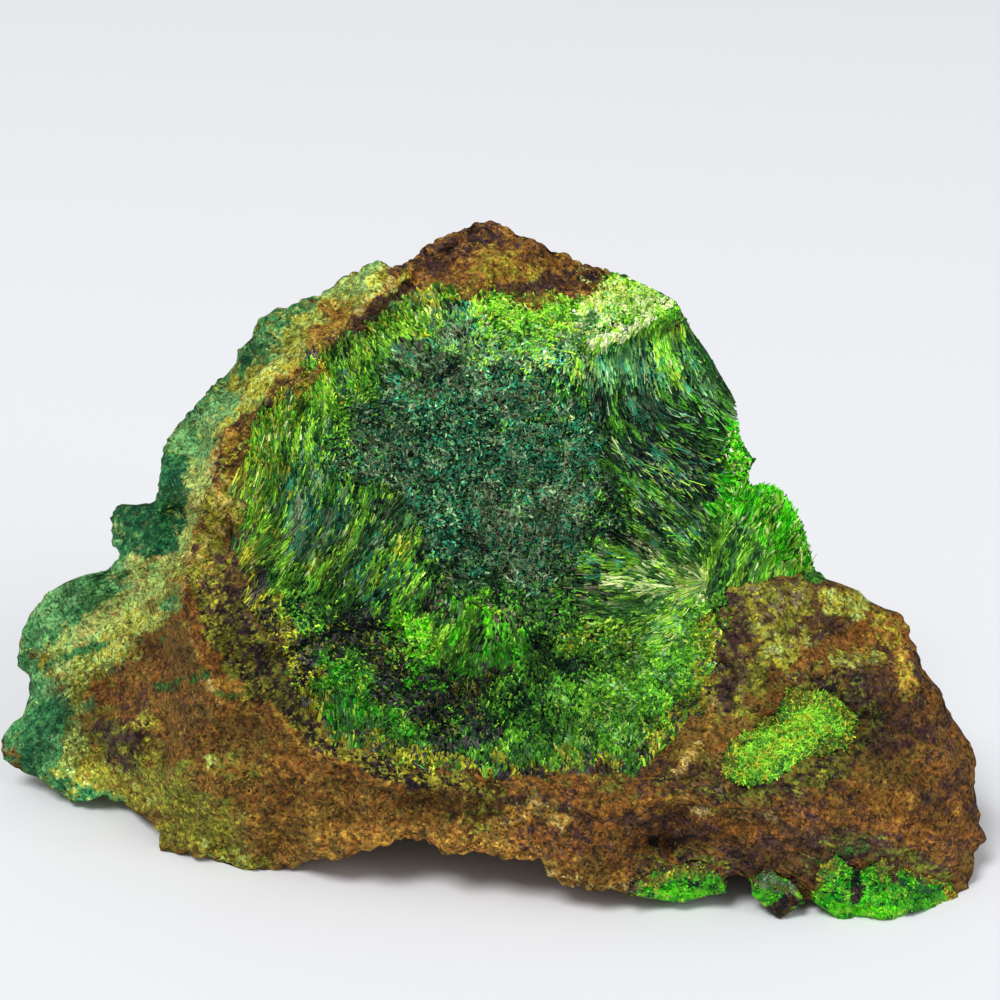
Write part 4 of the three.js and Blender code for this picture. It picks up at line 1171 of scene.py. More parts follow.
class Bench:
    """Builds the shader tree of one material round a Principled shader."""

    def __init__(self, name: str) -> None:
        """Start an empty material with its shader and its output.

        Args:
            name: Name of the material.
        """
        self.material = bpy.data.materials.new(name)
        self.material.use_nodes = True
        self.tree = self.material.node_tree
        self.tree.nodes.clear()
        self.shader = self.tree.nodes.new("ShaderNodeBsdfPrincipled")
        output = self.tree.nodes.new("ShaderNodeOutputMaterial")
        self.tree.links.new(self.shader.outputs[0], output.inputs[0])
        self.place = Wire(self, self.tree.nodes.new("ShaderNodeTexCoord").outputs["Object"])

    def add(
        self, kind: str, settings: dict[str, object], sockets: dict[str | int, object]
    ) -> bpy.types.Node:
        """Add a node.

        Args:
            kind: Type of the node.
            settings: Its settings, which are set first.
            sockets: Values or wires of its input sockets, by name or number.

        Returns:
            The node.
        """
        node = self.tree.nodes.new(kind)
        for name, value in settings.items():
            setattr(node, name, value)
        for key, value in sockets.items():
            self.feed(node.inputs[key], value)
        return node

    def feed(self, socket: bpy.types.NodeSocket, value: object) -> None:
        """Link a wire to a socket, or set the socket's own value.

        Args:
            socket: Input socket.
            value: Wire, number, vector or colour.
        """
        if isinstance(value, Wire):
            self.tree.links.new(value.socket, socket)
        else:
            socket.default_value = value

    def noise(self, scale: float, detail: float, roughness: float = 0.6) -> Wire:
        """Cloudy noise from 0 to 1 over the object, with the given cells per metre."""
        sockets = {"Vector": self.place, "Scale": scale, "Detail": detail, "Roughness": roughness}
        return Wire(self, self.add("ShaderNodeTexNoise", {}, sockets).outputs[0])

    def grains(self, scale: float) -> tuple[Wire, Wire, Wire]:
        """Packed grains over the object.

        Args:
            scale: Grains per metre.

        Returns:
            Distance from a grain's middle, and two numbers from 0 to 1 fixed for each grain.
        """
        node = self.add("ShaderNodeTexVoronoi", {}, {"Vector": self.place, "Scale": scale})
        split = self.add("ShaderNodeSeparateColor", {}, {0: Wire(self, node.outputs["Color"])})
        sockets = (node.outputs["Distance"], split.outputs[0], split.outputs[1])
        return tuple(Wire(self, socket) for socket in sockets)

    def stretched(self, value: Wire, low: float, high: float, bottom: float, top: float) -> Wire:
        """A value between two limits stretched to run from a bottom to a top, and cut off there."""
        sockets = {0: value, 1: low, 2: high, 3: bottom, 4: top}
        return Wire(self, self.add("ShaderNodeMapRange", {"clamp": True}, sockets).outputs[0])

    def colour_of(self, name: str) -> Wire:
        """A colour that the mesh holds at its points."""
        return Wire(self, self.add("ShaderNodeAttribute", {"attribute_name": name}, {}).outputs["Color"])

    def mixed(self, first: Wire, second: Wire, share: Wire) -> Wire:
        """Two colours mixed by a share from 0 to 1."""
        node = self.add("ShaderNodeMix", {"data_type": "RGBA"}, {0: share, 6: first, 7: second})
        return Wire(self, node.outputs[2])

    def lit(self, colour: Wire, brightness: Wire) -> Wire:
        """A colour times a brightness.

        Args:
            colour: Wire of the colour.
            brightness: Wire of the number.

        Returns:
            Wire of the product.
        """
        grey = self.add("ShaderNodeCombineColor", {}, {0: brightness, 1: brightness, 2: brightness})
        sockets = {0: 1.0, 6: colour, 7: Wire(self, grey.outputs[0])}
        node = self.add("ShaderNodeMix", {"data_type": "RGBA", "blend_type": "MULTIPLY"}, sockets)
        return Wire(self, node.outputs[2])

    def bump(self, height: Wire, distance: float, strength: float) -> Wire:
        """Bumps of a height in metres, as a normal."""
        sockets = {"Height": height, "Distance": distance, "Strength": strength}
        return Wire(self, self.add("ShaderNodeBump", {}, sockets).outputs[0])

    def finish(self, sockets: dict[str, object]) -> bpy.types.Material:
        """Set the shader's sockets and hand over the material.

        Args:
            sockets: Wires and values of the shader's sockets, by name.

        Returns:
            The material.
        """
        for name, value in sockets.items():
            self.feed(self.shader.inputs[name], value)
        return self.material


def rock_finish() -> bpy.types.Material:
    """Grainy iron-stained rock, dull, with crumbs and pits.

    Two tints are picked grain by grain, each grain lighter or darker, with painted shade in the pits.

    Returns:
        The material.
    """
    grain_scale = 5800.0
    crumb_scale = 2700.0
    pit_scale = 1500.0
    bump_height = 0.00018
    bench = Bench("iron_stained_rock")
    distance, pick, draw = bench.grains(grain_scale)
    crumb_distance, crumb, _ = bench.grains(crumb_scale)
    pits = bench.noise(pit_scale, 5.0, 0.7)
    clouds = bench.noise(pit_scale * 0.7, 3.0)
    share = bench.stretched(pick + 1.2 * clouds, 1.1, 1.18, 0.0, 1.0)
    colour = bench.mixed(bench.colour_of("tint"), bench.colour_of("grain_tint"), share)
    # Painted shade in the pits, where the bumps are lowest
    pit_shade = bench.stretched(pits, 0.34, 0.5, 0.4, 1.0)
    brightness = pit_shade * (0.16 + 1.24 * draw + 0.44 * crumb)
    height = 0.35 * (1.0 - distance) + 0.4 * (1.0 - crumb_distance) + 0.9 * pits + 0.3 * draw
    return bench.finish({
        "Base Color": bench.lit(colour, brightness),
        "Roughness": 0.7 + 0.3 * pits,
        "Specular IOR Level": 0.16,
        "Normal": bench.bump(height, bump_height, 0.8),
    })


def crystal_finish(name: str, roughness: float) -> bpy.types.Material:
    """Glassy to silky crystals: their tint with fine clouds of brightness.

    Args:
        name: Name of the material.
        roughness: Least roughness.

    Returns:
        The material.
    """
    cloud_scale = 5000.0
    bump_height = 0.00004
    bench = Bench(name)
    cloud = bench.noise(cloud_scale, 2.0)
    return bench.finish({
        "Base Color": bench.lit(bench.colour_of("tint"), 0.55 + 0.9 * cloud),
        "Roughness": roughness + 0.2 * cloud,
        "Specular IOR Level": 0.2,
        "Normal": bench.bump(cloud, bump_height, 0.5),
    })


def floor_finish() -> bpy.types.Material:
    """One even pale colour, matt."""
    sockets = {"Base Color": (0.80, 0.81, 0.835, 1.0), "Roughness": 0.9, "Specular IOR Level": 0.1}
    return Bench("pale_floor").finish(sockets)


def show_shape(name: str, shape: Shape, material: bpy.types.Material, smooth: bool) -> bpy.types.Object:
    """Put a shape into the scene as a piece of the specimen that rides on its one body.

    Args:
        name: Name of the piece.
        shape: Its mesh and tints.
        material: Its finish.
        smooth: Whether its faces are shaded as one rounded surface.

    Returns:
        The object.
    """
    mesh = bpy.data.meshes.new(name)
    count = len(shape.triangles)
    mesh.vertices.add(len(shape.points))
    mesh.vertices.foreach_set("co", (shape.points * MM).astype(np.float32).ravel())
    mesh.loops.add(count * 3)
    mesh.loops.foreach_set("vertex_index", shape.triangles.astype(np.int32).ravel())
    mesh.polygons.add(count)
    mesh.polygons.foreach_set("loop_start", np.arange(0, count * 3, 3, dtype=np.int32))
    mesh.polygons.foreach_set("use_smooth", np.full(count, smooth))
    for attribute, tint in (("tint", shape.tint), ("grain_tint", shape.grain_tint)):
        if tint is not None:
            colour = np.ones((len(tint), 4), np.float32)
            colour[:, :3] = np.clip(tint, 0.0, 1.0)
            layer = mesh.attributes.new(attribute, "FLOAT_COLOR", "POINT")
            layer.data.foreach_set("color", colour.ravel())
    mesh.materials.append(material)
    mesh.update(calc_edges=True)
    piece = bpy.data.objects.new(name, mesh)
    bpy.context.scene.collection.objects.link(piece)
    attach(piece, "root")
    log.info("%s: %d triangles", name, count)
    return piece


def square_panel(count: int) -> tuple[Array, Array, Array, Array]:
    """A square of points drawn out to a disc, square ring by square ring.

    A point's ring is the larger of its two distances from the middle lines. Along a ring the
    direction grows evenly, a quarter of a turn for each side of the square.

    Args:
        count: Squares across the panel.

    Returns:
        Ring of each point from 0 to 1, its direction, the grid of point numbers, and the numbers
        of the border, turning left from the lower right corner.
    """
    line = np.linspace(-1.0, 1.0, count + 1)
    across, up = (part.ravel() for part in np.meshgrid(line, line, indexing="ij"))
    upright = np.abs(up) > np.abs(across)
    major = np.where(upright, up, across)
    minor = np.where(upright, across, up)
    lean = np.pi / 4 * minor / np.where(major == 0, 1.0, major)
    angle = np.where(upright, np.pi / 2 - lean, lean) + np.where(major < 0, np.pi, 0.0)
    numbers = np.arange((count + 1) ** 2).reshape(count + 1, count + 1)
    border = (numbers[-1, :-1], numbers[:0:-1, -1], numbers[0, :0:-1], numbers[:-1, 0])
    return np.abs(major), angle, numbers, np.concatenate(border)


@dataclass
class HostRock:
    """The loose piece of host rock: rows of points from the middle of the face out to its
    outline and on over the sides, and a square panel of points on the back.

    Attributes:
        relief: The stone's surfaces.
        beds: Crusts that lie in the face, which is lowered under them; the mat comes first.
    """

    relief: Relief
    beds: tuple["CrystalCrust", ...]

    # Points in a row, a multiple of eight
    rays = 760
    front_rows = 78
    side_rows = 28
    edge_drop = 0.8
    back_share = 0.86
    tooth_height = 2.4
    tooth_size = 14.0
    edge_reach = 6.0
    lump_size = 3.4
    crumb_size = 1.1
    grain_size = 0.55
    stray = 45.0
    margin = 0.3

    def edge_radius(self, angle: Array) -> Array:
        """Radius of the outline, with small teeth added by a noise along it.

        Args:
            angle: Directions from the star's centre, in radians.

        Returns:
            One radius in face points for each direction.
        """
        radius = self.relief.outline.radius(angle)
        places = flat_points(radius * np.cos(angle), radius * np.sin(angle))
        return radius + self.tooth_height * layered_noise(places, self.tooth_size, 3, 5) - 1.0

    def towards(self, angle: Array, radius: Array) -> tuple[Array, Array]:
        """Face points at a radius from the star's centre."""
        return STAR_CENTRE[0] + radius * np.cos(angle), STAR_CENTRE[1] - radius * np.sin(angle)

    def bed_drop(self, x: Array, y: Array) -> Array:
        """How far the rock is lowered under the crusts.

        Args:
            x: Across.
            y: Down.

        Returns:
            One drop in millimetres for each face point.
        """
        drop = np.zeros_like(x)
        for crust in self.beds:
            drop += crust.bed * (1.0 - smooth_step(0.88, 0.99, crust.line.share(x, y)))
        return drop

    def front(self, angle: Array) -> tuple[Array, Array, Array, Array]:
        """The front's rows.

        Three rows lie hidden under the mat. The others run evenly from 0.84 of the mat's radius
        out to the outline, towards which the height falls off as e to the minus distance.

        Args:
            angle: Directions of the rays, in radians.

        Returns:
            Across, down, height and share of the way back of each point, row by row.
        """
        hidden = (-0.7, -0.4, -0.15)
        levels = np.concatenate((hidden, np.arange(self.front_rows + 1) / self.front_rows))
        level = np.repeat(levels, len(angle))
        turned = np.tile(angle, len(levels))
        ragged = self.edge_radius(turned)
        inner = np.minimum(0.84 * self.beds[0].line.radius(turned), 0.9 * ragged)
        even = self.relief.outline.even_radius(turned)
        near = self.relief.outline.even_radius(turned, 0.035)
        outward = np.maximum(level, 0.0)
        outer = inner + level * (even - inner) + outward**3 * (near - even) + outward**8 * (ragged - near)
        radius = np.where(level < 0, (1.0 + level) * inner, outer)
        x, y = self.towards(turned, radius)
        drop = self.edge_drop * np.exp(-(ragged - radius) / self.edge_reach) + self.bed_drop(x, y)
        return x, y, self.relief.front(x, y) - drop, np.zeros_like(x)

    def edge_depths(self, angle: Array) -> tuple[Array, Array]:
        """Heights of the outline and of the back panel's border in the given directions.

        Args:
            angle: Directions from the star's centre, in radians.

        Returns:
            Height of the outline and height of the border, in millimetres.
        """
        x, y = self.towards(angle, self.edge_radius(angle))
        edge = self.relief.front(x, y) - self.edge_drop - self.bed_drop(x, y)
        rear_x, rear_y = self.towards(angle, self.back_share * self.relief.outline.radius(angle))
        return edge, self.relief.back(rear_x, rear_y, edge)

    def sides(self, angle: Array) -> tuple[Array, Array, Array, Array]:
        """The rows between front and back.

        Heights run from the edge to the rear by the share to the power 1.3, and the radius
        shrinks by the square of the share, made uneven by a noise half way.

        Args:
            angle: Directions of the rays, in radians.

        Returns:
            Across, down, height and share of the way back of each point, row by row.
        """
        share = (np.arange(1, self.side_rows) / self.side_rows) ** 1.25
        backward = np.repeat(share, len(angle))
        turned = np.tile(angle, len(share))
        edge, rear = (np.tile(part, len(share)) for part in self.edge_depths(angle))
        depth = blend(edge, rear, backward**1.3)
        ragged = blend(self.edge_radius(turned), self.relief.outline.radius(turned), backward)
        x, y = self.towards(turned, ragged)
        places = np.stack((x, y, depth * 15.0), axis=1)
        uneven = 1.5 * layered_noise(places, 70.0, 2, 9) - 1.0
        rugged = 0.022 * np.sin(np.pi * backward) * uneven
        radius = ragged * (1.0 + rugged - (1.0 - self.back_share) * backward**2)
        x, y = self.towards(turned, radius)
        return x, y, depth, backward

    def back(self, ring: Array, angle: Array) -> tuple[Array, Array, Array, Array]:
        """The back's points, ragged near its border.

        Args:
            ring: Ring of each point, from 0 at the middle to 1 at the border.
            angle: Direction of each point, in radians.

        Returns:
            Across, down, height and share of the way back of each point.
        """
        outline = self.relief.outline
        radius = blend(outline.even_radius(angle), outline.radius(angle), ring**5)
        x, y = self.towards(angle, self.back_share * ring * radius)
        edge, _ = self.edge_depths(angle)
        return x, y, self.relief.back(x, y, edge), np.ones_like(x)

    def triangles(self, rows: Array, pole: int, back: Array, rim: Array) -> Array:
        """Triangles of the rows, of the cap in the middle of the face and of the back panel.

        A strip joins each pair of the last row's steps to one step of the panel's border.

        Args:
            rows: Grid of point numbers, from the middle of the face outwards and to the back.
            pole: Number of the point in the middle of the face.
            back: Grid of the back panel's point numbers.
            rim: Its border, with half as many points as a row.

        Returns:
            Rows of three point numbers.
        """
        first, last = rows[0], rows[-1]
        cap = np.stack((np.full(len(first), pole), first, np.roll(first, -1)), 1)
        here, middle, there = last[0::2], last[1::2], np.roll(last, -1)[1::2]
        onward = np.roll(rim, -1)
        joint = (
            np.stack((here, rim, middle), 1),
            np.stack((middle, rim, onward), 1),
            np.stack((middle, onward, there), 1),
        )
        return np.concatenate((grid_triangles(wrapped_grid(rows)), cap, grid_triangles(back.T), *joint))

    def weathering(self, places: Array) -> Array:
        """Height of the broken surface: rolling lumps, crumbs, and small grains on them.

        Args:
            places: Points of the surface, in millimetres.

        Returns:
            One height in millimetres for each point.
        """
        lumps = layered_noise(places, self.lump_size, 4, 21)
        crumb, gap, _ = grain_cells(places, self.crumb_size, 31)
        grain, _, _ = grain_cells(places, self.grain_size, 33)
        cracks = smooth_step(0.16, 0.0, gap)
        return 0.24 * lumps + 0.3 * (0.45 - crumb) - 0.1 * cracks + 0.16 * (0.45 - grain)

    def tint(
        self, x: Array, y: Array, backward: Array, places: Array, height: Array, seed: int
    ) -> Array:
        """Stained colour: the face's stains with painted light and painted shade, fading to the back's,
        with painted shade in pits and painted light on bumps.

        Args:
            x: Across.
            y: Down.
            backward: Share of the way back.
            places: Points of the surface, in millimetres.
            height: Height of the broken surface, in millimetres.
            seed: Number that picks another packing of grains.

        Returns:
            Linear colour of each point.
        """
        _, _, first = grain_cells(places, 0.42, seed)
        _, _, second = grain_cells(places, 0.5, seed + 5)
        _, _, broad = grain_cells(places, 1.4, seed + 9)
        draws = np.mod(np.stack((first, second), axis=1) * 0.6 + broad[:, None] * 0.4, 1.0)
        astray = self.stray * smooth_step(0.0, 0.4, backward)
        x = x + astray * layered_noise(places, 4.0, 3, 57)
        y = y + astray * layered_noise(places, 4.0, 3, 58)
        face = painted(BROWN_GROUND, ROCK_STAINS, x, y, draws, self.margin)
        rear = painted(BACK_MIX, BACK_STAINS, x, y, draws, self.margin)
        fade = smooth_step(0.25, 0.8, backward + 0.25 * layered_noise(places, 4.0, 3, 55))
        # Painted shade in pits and painted light on bumps, by the height of the broken surface
        shade = np.clip(1.0 + 0.9 * height, 0.55, 1.3)
        # Painted light and painted shade of the face
        light, _ = painted_light_at(ROCK_PAINTED_LIGHT, x, y)
        face = face * light[:, None]
        return blend(face, rear, fade[:, None]) * shade[:, None]

    def build(self) -> Shape:
        """The rock as one closed shape with its weathered surface and its tints.

        Returns:
            The shape.
        """
        angle = np.arange(self.rays) * 2.0 * np.pi / self.rays - np.pi / 4
        ring, back_angle, back, rim = square_panel(self.rays // 8)
        centre = np.array((STAR_CENTRE[0],), float), np.array((STAR_CENTRE[1],), float)
        middle = (*centre, self.relief.front(*centre) - self.beds[0].bed, np.zeros(1))
        parts = self.front(angle), self.sides(angle), middle, self.back(ring, back_angle)
        x, y, depth, backward = (np.concatenate(part) for part in zip(*parts))
        count = len(parts[0][0]) + len(parts[1][0])
        rows = np.arange(count).reshape(-1, self.rays)
        triangles = self.triangles(rows, count, back + count + 1, rim + count + 1)
        bare = Shape(self.relief.stand(x, y, depth), triangles, np.zeros((len(x), 3)))
        height = self.weathering(bare.points)
        shape = bare.pushed(height)
        shape.tint = self.tint(x, y, backward, bare.points, height, 51)
        shape.grain_tint = self.tint(x, y, backward, bare.points, height, 91)
        return shape

    def dress(self) -> None:
        """Show the rock in place of the plain solid."""
        piece = show_shape("matrix_rock", self.build(), rock_finish(), True)
        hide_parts("matrix")


@dataclass(frozen=True)
class Growth:
    """One growth of crystals on a crust, with its lengths in millimetres.

    Attributes:
        spacing: Distance between neighbours, in face points.
        length: Length where the crystals lie any way.
        width: Width where they lie any way.
        sunk: How deep the middles lie under the face's height.
        rise: Mean rise of the crystals off the face, in degrees.
        brightness: Share of the crystals' brightness: painted shade on the lower growths and painted
            light on the upper ones.
        seed: Number that picks another growth.
        out: Outermost share of the rim on which crystals lie.
        keep: Share of the places that bear a crystal outside the streaks.
        streaks: Share of the places that bear a crystal in the streaks.
        stretch: Share of the marks' length that is added in the streaks.
        mix: Tones that two thirds of the crystals take in place of the stains'.
    """

    spacing: float
    length: float
    width: float
    sunk: float
    rise: float
    brightness: float
    seed: int
    out: float = 1.0
    keep: float = 1.0
    streaks: float = 1.0
    stretch: float = 0.12
    mix: Mix | None = None


@dataclass
class CrystalCrust:
    """A crust of crystals: a ground grown together, darkened by painted shade, and crystals rooted in it.

    Its lengths are in millimetres.

    Attributes:
        name: Name that its pieces start with.
        node: Solid that it stands for.
        finish_slot: Slot of the record for its finish; not used.
        relief: The stone's surfaces.
        line: Its rim, seen from its middle.
        marks: Growth of the crystals over the face.
        base: Mix of its ground colours.
        stains: Stains of its crystals.
        growths: Growths of crystals, from the lowest.
        finish: Name of its material.
        rim_points: Points of its rim.
        bed: How far the rock is lowered under it.
        thickness: Thickness at its middle.
        edge: Thickness at its rim.
        rays: Columns of its ground.
        rows: Rows of its ground's top.
        painted_lights: Painted light and painted shade on its crystals.
        lower: How far its ground lies under the face's height.
        shade: Share of their brightness that its ground colours keep; the rest is painted shade under its
            crystals.
        lumpy: Height of its small lumps, as a share of the usual.
        roughness: Least roughness of its crystals.
    """

    name: str
    node: str
    finish_slot: str
    relief: Relief
    line: ClosedLine
    marks: Points
    base: Mix
    stains: tuple[Stain, ...]
    growths: tuple[Growth, ...]
    finish: str
    rim_points: Points
    bed: float = 0.8
    thickness: float = 1.2
    edge: float = 0.6
    rays: int = 160
    rows: int = 22
    painted_lights: tuple[PaintedLight, ...] = ()
    lower: float = 0.4
    shade: float = 0.3
    lumpy: float = 1.0
    roughness: float = 0.36

    patch_size = 8.0
    tuft_size = 12.0

    def lumps(self, x: Array, y: Array) -> Array:
        """Unevenness of the crust, from two noises.

        Args:
            x: Across.
            y: Down.

        Returns:
            One height in millimetres for each face point.
        """
        places = flat_points(x, y)
        broad = 0.16 * layered_noise(places, 30.0, 2, 61)
        return broad + 0.1 * self.lumpy * rolling_noise(places, 9.0, 62)

    def ground(self) -> Shape:
        """The crust's ground as one closed shape.

        Rows run from the middle of its top out to the rim and on the underside back to the
        middle. The top lies a little under the face's height, with a lumpy surface; the underside
        follows at the thickness, which thins out to the edge by the fourth power.

        Returns:
            The shape.
        """
        top = np.linspace(0.0, 1.0, self.rows + 1)[1:] ** 0.8
        under = np.array((0.99, 0.9, 0.7, 0.4))
        share = np.repeat(np.concatenate((top, under)), self.rays)
        below = np.repeat(np.concatenate((np.zeros_like(top), np.ones_like(under))), self.rays)
        angle = np.tile(np.arange(self.rays) * 2 * np.pi / self.rays, len(top) + len(under))
        share = np.append(share, (0.0, 0.0))
        below = np.append(below, (0.0, 1.0))
        angle = np.append(angle, (0.0, 0.0))
        radius = share * self.line.radius(angle)
        x = self.line.middle[0] + radius * np.cos(angle)
        y = self.line.middle[1] - radius * np.sin(angle)
        depth, _, _ = self.relief.read_front(x, y)
        _, _, draw = grain_cells(flat_points(x, y), 7.0, 61)
        lumps = self.lumps(x, y) + 0.15 * (draw - 0.5) - 0.2 * smooth_step(0.9, 1.0, share)
        thickness = blend(self.edge, self.thickness, 1.0 - share**4)
        depth = depth - self.lower + blend(lumps, -thickness, below)
        numbers = np.arange((len(top) + len(under)) * self.rays).reshape(-1, self.rays)
        first, last = np.roll(numbers[0], -1), np.roll(numbers[-1], -1)
        middle = np.full(self.rays, numbers.size)
        caps = (np.stack((middle, numbers[0], first), 1), np.stack((middle + 1, last, numbers[-1]), 1))
        triangles = np.concatenate((grid_triangles(wrapped_grid(numbers)), *caps))
        still = np.zeros_like(x)
        brushed = [brushed_draw(x, y, still, still, self.patch_size, seed) for seed in (91, 92)]
        # The ground's colours keep only the shade share: painted shade under the crystals
        tint = painted(self.base, self.stains, x, y, np.stack(brushed, axis=1), 0.3) * self.shade
        points = self.relief.stand(x, y, depth)
        points[:, 2] = np.maximum(points[:, 2], 0.0)
        return Shape(points, triangles, tint)

    def middles(self, growth: Growth, random: np.random.Generator) -> tuple[Array, Array]:
        """Face points where crystals lie: a grid of even spacing, each point shaken.

        The growth ends at a ragged line round the rim, and thins out towards it, but never
        reaches past the stone's outline.

        Args:
            growth: The growth.
            random: Source of the random numbers.

        Returns:
            Across and down.
        """
        rim = np.array(self.rim_points, float)
        low, high = rim.min(axis=0) - 12.0, rim.max(axis=0) + 12.0
        across, down = np.meshgrid(
            np.arange(low[0], high[0], growth.spacing),
            np.arange(low[1], high[1], growth.spacing),
            indexing="ij",
        )
        shake = random.uniform(-0.6, 0.6, (2, across.size)) * growth.spacing
        x = across.ravel() + shake[0]
        y = down.ravel() + shake[1]
        places = flat_points(x, y)
        size = math.sqrt(float(np.prod(high - low))) / 480.0
        ragged = 0.03 * layered_noise(places, 26.0, 3, 81) / size**0.5
        limit = growth.out + ragged - 0.02 * random.random(x.size) ** 2 / size**0.5
        share = self.line.share(x, y)
        outside = self.relief.outline.share(x, y)
        kept = ((share < limit) | ((outside > 0.93) & (share < 1.01))) & (outside < 1.0)
        return x[kept], y[kept]

    def growth_values(self, x: Array, y: Array) -> Array:
        """Growth marks blended at face points.

        Headings are blended as doubled angles, because a crystal looks the same both ways.

        Args:
            x: Across.
            y: Down.

        Returns:
            Cosine and sine of the doubled and of the plain heading, length and width, in a row
            for each face point.
        """
        marks = np.array(self.marks, float)
        way = np.radians(marks[:, 2])
        turns = np.stack((np.cos(2 * way), np.sin(2 * way), np.cos(way), np.sin(way)), axis=1)
        return blend_marks(np.concatenate((marks[:, :2], turns, marks[:, 3:]), axis=1), x, y)

    def axes(self, x: Array, y: Array, heading: Array, rise: Array) -> Array:
        """Directions of crystals: along the face's slope by the heading, lifted by the rise.

        Args:
            x: Across.
            y: Down.
            heading: Heading of each crystal on the face, in radians.
            rise: Rise of each crystal off the face, in radians.

        Returns:
            One direction of length one in the room for each crystal.
        """
        _, slope_x, slope_y = self.relief.read_front(x, y)
        along = np.stack((np.cos(heading), np.sin(heading)), axis=1)
        climb = slope_x * along[:, 0] + slope_y * along[:, 1]
        forward = np.concatenate((along, climb[:, None]), axis=1)
        forward /= np.linalg.norm(forward, axis=1)[:, None]
        normal = np.stack((-slope_x, -slope_y, np.ones_like(slope_x)), axis=1)
        normal /= np.linalg.norm(normal, axis=1)[:, None]
        return self.relief.turned(np.cos(rise)[:, None] * forward + np.sin(rise)[:, None] * normal)

    def tints(
        self, growth: Growth, random: np.random.Generator, x: Array, y: Array, brushed: list[Array],
        streak: Array,
    ) -> Array:
        """Colours of crystals: picked from the stains, lighter or darker in patches and singly, with
        painted light and painted shade from the stretches and the growth's brightness.

        Args:
            growth: The growth.
            random: Source of the random numbers.
            x: Across.
            y: Down.
            brushed: Three patchy draws for each crystal.
            streak: Share from 0 to 1 by which each crystal lies in a streak.

        Returns:
            Linear colour of each crystal.
        """
        count = len(x)
        own_share = 0.66
        spread = random.random((count, 2)) * (0.3, 0.5) * (1.0 - 0.4 * streak)[:, None]
        draws = np.mod(np.stack(brushed[:2], axis=1) + spread, 1.0)
        tint = painted(self.base, self.stains, x, y, draws, 0.02)
        if growth.mix is not None:
            own = random.random(count) < own_share
            tint = np.where(own[:, None], picked(growth.mix, draws[:, 1]), tint)
        # Painted light and painted shade over the crystals' tones
        painted_light, calm = painted_light_at(self.painted_lights, x, y)
        swing = (0.32 + 0.34 * streak) * (1.0 - 0.7 * calm)
        lone = 0.46 * (1.0 - 0.7 * calm) * (1.0 - 0.3 * streak)
        broad = 0.3 * rolling_noise(flat_points(x, y), 34.0, 64)
        patchy = 1.0 + broad + swing * (2.0 * brushed[2] - 1.0)
        light = np.clip(np.exp(lone * random.normal(0.0, 1.0, count)), 0.3, 2.2)
        light = painted_light * light * patchy * blend(growth.brightness, 1.0, 0.5 * calm)
        return tint * light[:, None]

    def crystals(self, growth: Growth) -> Shape:
        """One growth as a shape of loose closed crystals.

        Headings, lengths and widths come from the growth marks. Where the marks are long the
        crystals keep to the marks' heading, in streaks; elsewhere they lie anyhow.

        Args:
            growth: The growth.

        Returns:
            All its crystals as one shape.
        """
        random = np.random.default_rng(growth.seed)
        x, y = self.middles(growth, random)
        values = self.growth_values(x, y)
        _, _, tuft = grain_cells(flat_points(x, y), self.tuft_size, 72 + growth.seed)
        streak = smooth_step(1.4, 2.2, values[:, 4])
        chance = blend(growth.keep, growth.streaks * (0.5 + tuft), streak)
        grown = random.random(len(x)) < chance
        x, y, values, tuft, streak = (part[grown] for part in (x, y, values, tuft, streak))
        count = len(x)
        heading = 0.5 * np.arctan2(values[:, 1], values[:, 0])
        agrees = np.cos(heading) * values[:, 2] + np.sin(heading) * values[:, 3]
        heading = np.where(agrees < 0, heading + np.pi, heading)
        stroke = self.patch_size * streak
        brushed = [brushed_draw(x, y, heading, stroke, self.patch_size, seed) for seed in (73, 74, 75)]
        aligned = smooth_step(0.8, 2.2, values[:, 4])
        heading += np.pi * random.uniform(-1.0, 1.0, count) * (1.0 - aligned)
        heading += 0.16 * random.normal(0.0, 1.0, count) + 0.3 * (tuft - 0.5)
        rise = growth.rise * (1.0 + 0.5 * random.normal(0.0, 1.0, count)) * (1.0 - 0.6 * streak)
        rise = np.radians(np.clip(rise, 1.0, 85.0))
        length = growth.length * (1.0 + 0.6 * streak) + growth.stretch * values[:, 4] * streak
        length = length * random.uniform(0.55, 1.45, count)
        length = length * (1.0 - 0.5 * smooth_step(0.92, 1.0, self.relief.outline.share(x, y)))
        width = growth.width * (1.0 - 0.25 * streak) * values[:, 5] / 0.2
        width = width * random.uniform(0.6, 1.4, count)
        depth, _, _ = self.relief.read_front(x, y)
        axis = self.axes(x, y, heading, rise)
        sunk = growth.sunk + 0.16 * smooth_step(0.9, 1.0, self.line.share(x, y)) - self.lumps(x, y)
        foot = self.relief.stand(x, y, depth - sunk) - axis * (0.4 * length)[:, None]
        tint = self.tints(growth, random, x, y, brushed, streak)
        spin = random.uniform(0.0, 2.0 * np.pi, count)
        return self.crystal_shape(foot, axis, spin, length, width, tint)

